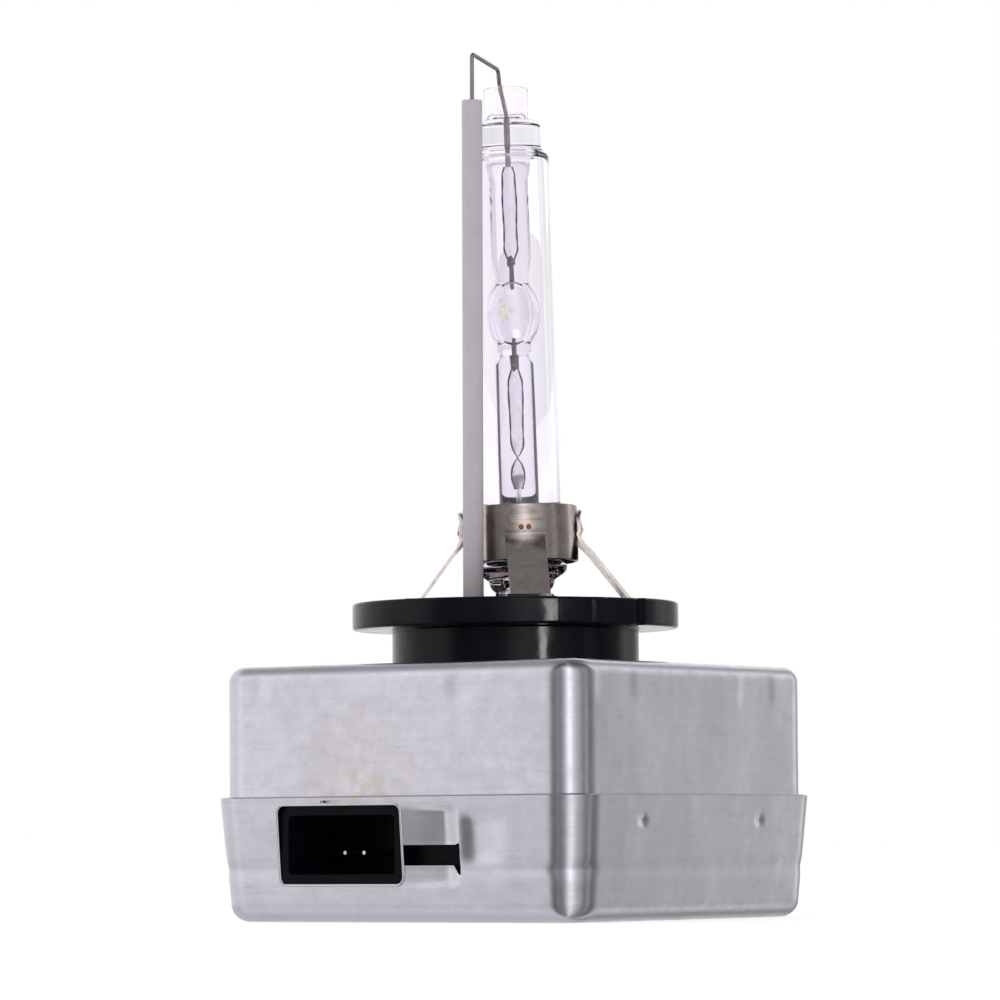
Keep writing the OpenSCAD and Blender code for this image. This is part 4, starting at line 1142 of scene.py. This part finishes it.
class OBJECT_OT_bulb_stage(BulbOperator, bpy.types.Operator):
    """Adds the pale floor, the soft studio surroundings and the soft boxes"""

    bl_idname = "object.bulb_stage"
    bl_label = "Stage"

    def build(self, s):
        bpy.context.scene.view_settings.view_transform = "Standard"
        # Matte paper floor: even and almost white, with only a trace of a shadow
        paper, tree, shader = finish("paper_matte", s.c_floor, 0.9, Emission_Color=s.c_floor,
                                     Emission_Strength=0.6)
        mottle(tree, shader, s.c_floor, 0.97, pattern(tree, 30, 0, 1))
        ground = bmesh.new()
        bmesh.ops.create_grid(ground, x_segments=8, y_segments=8, size=3000)
        floor = make_piece("floor", ground, paper, "", place=Matrix.Translation((0, 0, cover_low.z - 0.02)))
        floor.visible_glossy = False  # the case mirrors the studio, and not the paper it stands on

        world = bpy.data.worlds.new("studio")
        world.use_nodes = True
        tree = world.node_tree
        tree.nodes.clear()
        look = add_node(tree, "ShaderNodeTexCoord")
        axes = add_node(tree, "ShaderNodeSeparateXYZ", {0: look.outputs["Generated"]})
        # Azimuth from -Y towards +X, as a share of the full turn that starts at the back
        forward = combined(tree, "MULTIPLY", axes.outputs["Y"], -1.0)
        azimuth = combined(tree, "ARCTAN2", axes.outputs["X"], forward)
        share = add_node(tree, "ShaderNodeMapRange", {
            "Value": azimuth, "From Min": -math.pi, "From Max": math.pi})
        walls = add_node(tree, "ShaderNodeValToRGB", {"Fac": share.outputs["Result"]})
        # Brightness of the studio's walls by azimuth in degrees: bright cards with dark gaps between them
        stops = [(-180, 0.5), (-150, 1.0), (-60, 1.1), (-45, 1.35), (-32, 1.15), (-27, 0.6), (-20, 0.3),
                 (-12, 0.22), (-4, 0.36), (4, 0.4), (10, 0.32), (16, 0.38), (23, 0.6), (29, 1.0),
                 (35, 1.5), (42, 2.0), (49, 1.75), (55, 1.15), (64, 0.85), (82, 0.55), (90, 0.35),
                 (100, 0.38), (106, 0.65), (111, 0.45), (117, 0.26), (127, 0.28), (139, 0.4),
                 (146, 0.45), (150, 1.0), (157, 1.3), (171, 0.6), (180, 0.5)]
        brightest = 2.0  # the ramp holds shares of it, and "up" brings the level back
        elements = walls.color_ramp.elements
        while len(elements) > 1:
            elements.remove(elements[-1])
        for i, (degrees, value) in enumerate(stops):
            stop = elements[0] if i == 0 else elements.new((degrees + 180) / 360)
            stop.position = (degrees + 180) / 360
            stop.color = (*[value / brightest] * 3, 1)
        up = add_node(tree, "ShaderNodeMapRange", {
            "Value": axes.outputs["Z"], "From Min": 0.45, "From Max": 0.95,
            "To Min": brightest, "To Max": 0.6},
            interpolation_type="SMOOTHSTEP")
        down = add_node(tree, "ShaderNodeMapRange", {
            "Value": axes.outputs["Z"], "From Min": -0.2, "From Max": -0.03, "To Min": 0.76, "To Max": 1.0})
        level = combined(tree, "MULTIPLY", up.outputs["Result"], down.outputs["Result"])
        lit = add_node(tree, "ShaderNodeVectorMath", {0: walls.outputs["Color"], "Scale": level},
                       operation="SCALE")
        studio = add_node(tree, "ShaderNodeBackground", {"Color": lit.outputs[0], "Strength": 1.0})
        white = add_node(tree, "ShaderNodeBackground", {"Color": (1, 1, 1, 1), "Strength": 1.0})
        # The white paper behind the lamp shows directly, and for the most part through the glass
        rays = add_node(tree, "ShaderNodeLightPath")
        through = combined(tree, "MULTIPLY", rays.outputs["Is Transmission Ray"], 0.72)
        paper_share = combined(tree, "MAXIMUM", rays.outputs["Is Camera Ray"], through)
        seen = add_node(tree, "ShaderNodeMixShader", {
            0: paper_share, 1: studio.outputs[0], 2: white.outputs[0]})
        add_node(tree, "ShaderNodeOutputWorld", {"Surface": seen.outputs[0]})
        bpy.context.scene.world = world

        target = (cad_bounds[0] + cad_bounds[1]) / 2
        distance, tall = 0.8, 0.6  # metres
        # Name, azimuth in degrees, height and width in metres, power in watts
        for name, degrees, height, width, power in (
                ("strip_box", 59, 0.0, 0.09, 5.5), ("back_box", 200, 0.4, 0.5, 0.3),
                ("top_box", 33, 0.75, 0.6, 0.4)):
            light = bpy.data.lights.new(name, "AREA")
            light.shape, light.size, light.size_y, light.energy = "RECTANGLE", width, tall, power
            lamp = bpy.data.objects.new(name, light)
            bpy.context.scene.collection.objects.link(lamp)
            a = math.radians(degrees)
            lamp.location = Vector((distance * math.sin(a), -distance * math.cos(a), height))
            lamp.rotation_euler = (target - lamp.location).to_track_quat("-Z", "Y").to_euler()
            if name == "strip_box":
                # The narrow box draws the thin lights on the black plastic, and reaches nothing else
                plastic = bpy.data.collections.new("strip_box_lights")
                plastic.objects.link(bpy.data.objects["flange_moulding"])
                lamp.light_linking.receiver_collection = plastic


class VIEW3D_PT_bulb(bpy.types.Panel):
    """Buttons that add each piece of the bulb"""

    bl_label = "Headlight bulb"
    bl_space_type = "VIEW_3D"
    bl_region_type = "UI"
    bl_category = "Bulb"

    def draw(self, context):
        for step in steps_in_order:
            self.layout.operator(step.bl_idname)
        for group in (context.scene.bulb_sizes, context.scene.bulb_colours):
            for key, prop in group.bl_rna.properties.items():
                if prop.type == "FLOAT":
                    self.layout.prop(group, key)


steps_in_order = (
    OBJECT_OT_bulb_camera, OBJECT_OT_bulb_glass, OBJECT_OT_bulb_electrodes, OBJECT_OT_bulb_salts,
    OBJECT_OT_bulb_lead, OBJECT_OT_bulb_ceramic, OBJECT_OT_bulb_clamp, OBJECT_OT_bulb_legs,
    OBJECT_OT_bulb_flange, OBJECT_OT_bulb_can, OBJECT_OT_bulb_cover, OBJECT_OT_bulb_socket,
    OBJECT_OT_bulb_inside, OBJECT_OT_bulb_stage,
)
classes = (BulbSizes, BulbColours, *steps_in_order, VIEW3D_PT_bulb)


def register():
    for cls in classes:
        bpy.utils.register_class(cls)
    bpy.types.Scene.bulb_sizes = PointerProperty(type=BulbSizes)
    bpy.types.Scene.bulb_colours = PointerProperty(type=BulbColours)


def unregister():
    del bpy.types.Scene.bulb_colours
    del bpy.types.Scene.bulb_sizes
    for cls in reversed(classes):
        bpy.utils.unregister_class(cls)


def main():
    register()
    for step in steps_in_order:
        group, name = step.bl_idname.split(".")
        getattr(getattr(bpy.ops, group), name)()


if __name__ == "__main__":
    main()
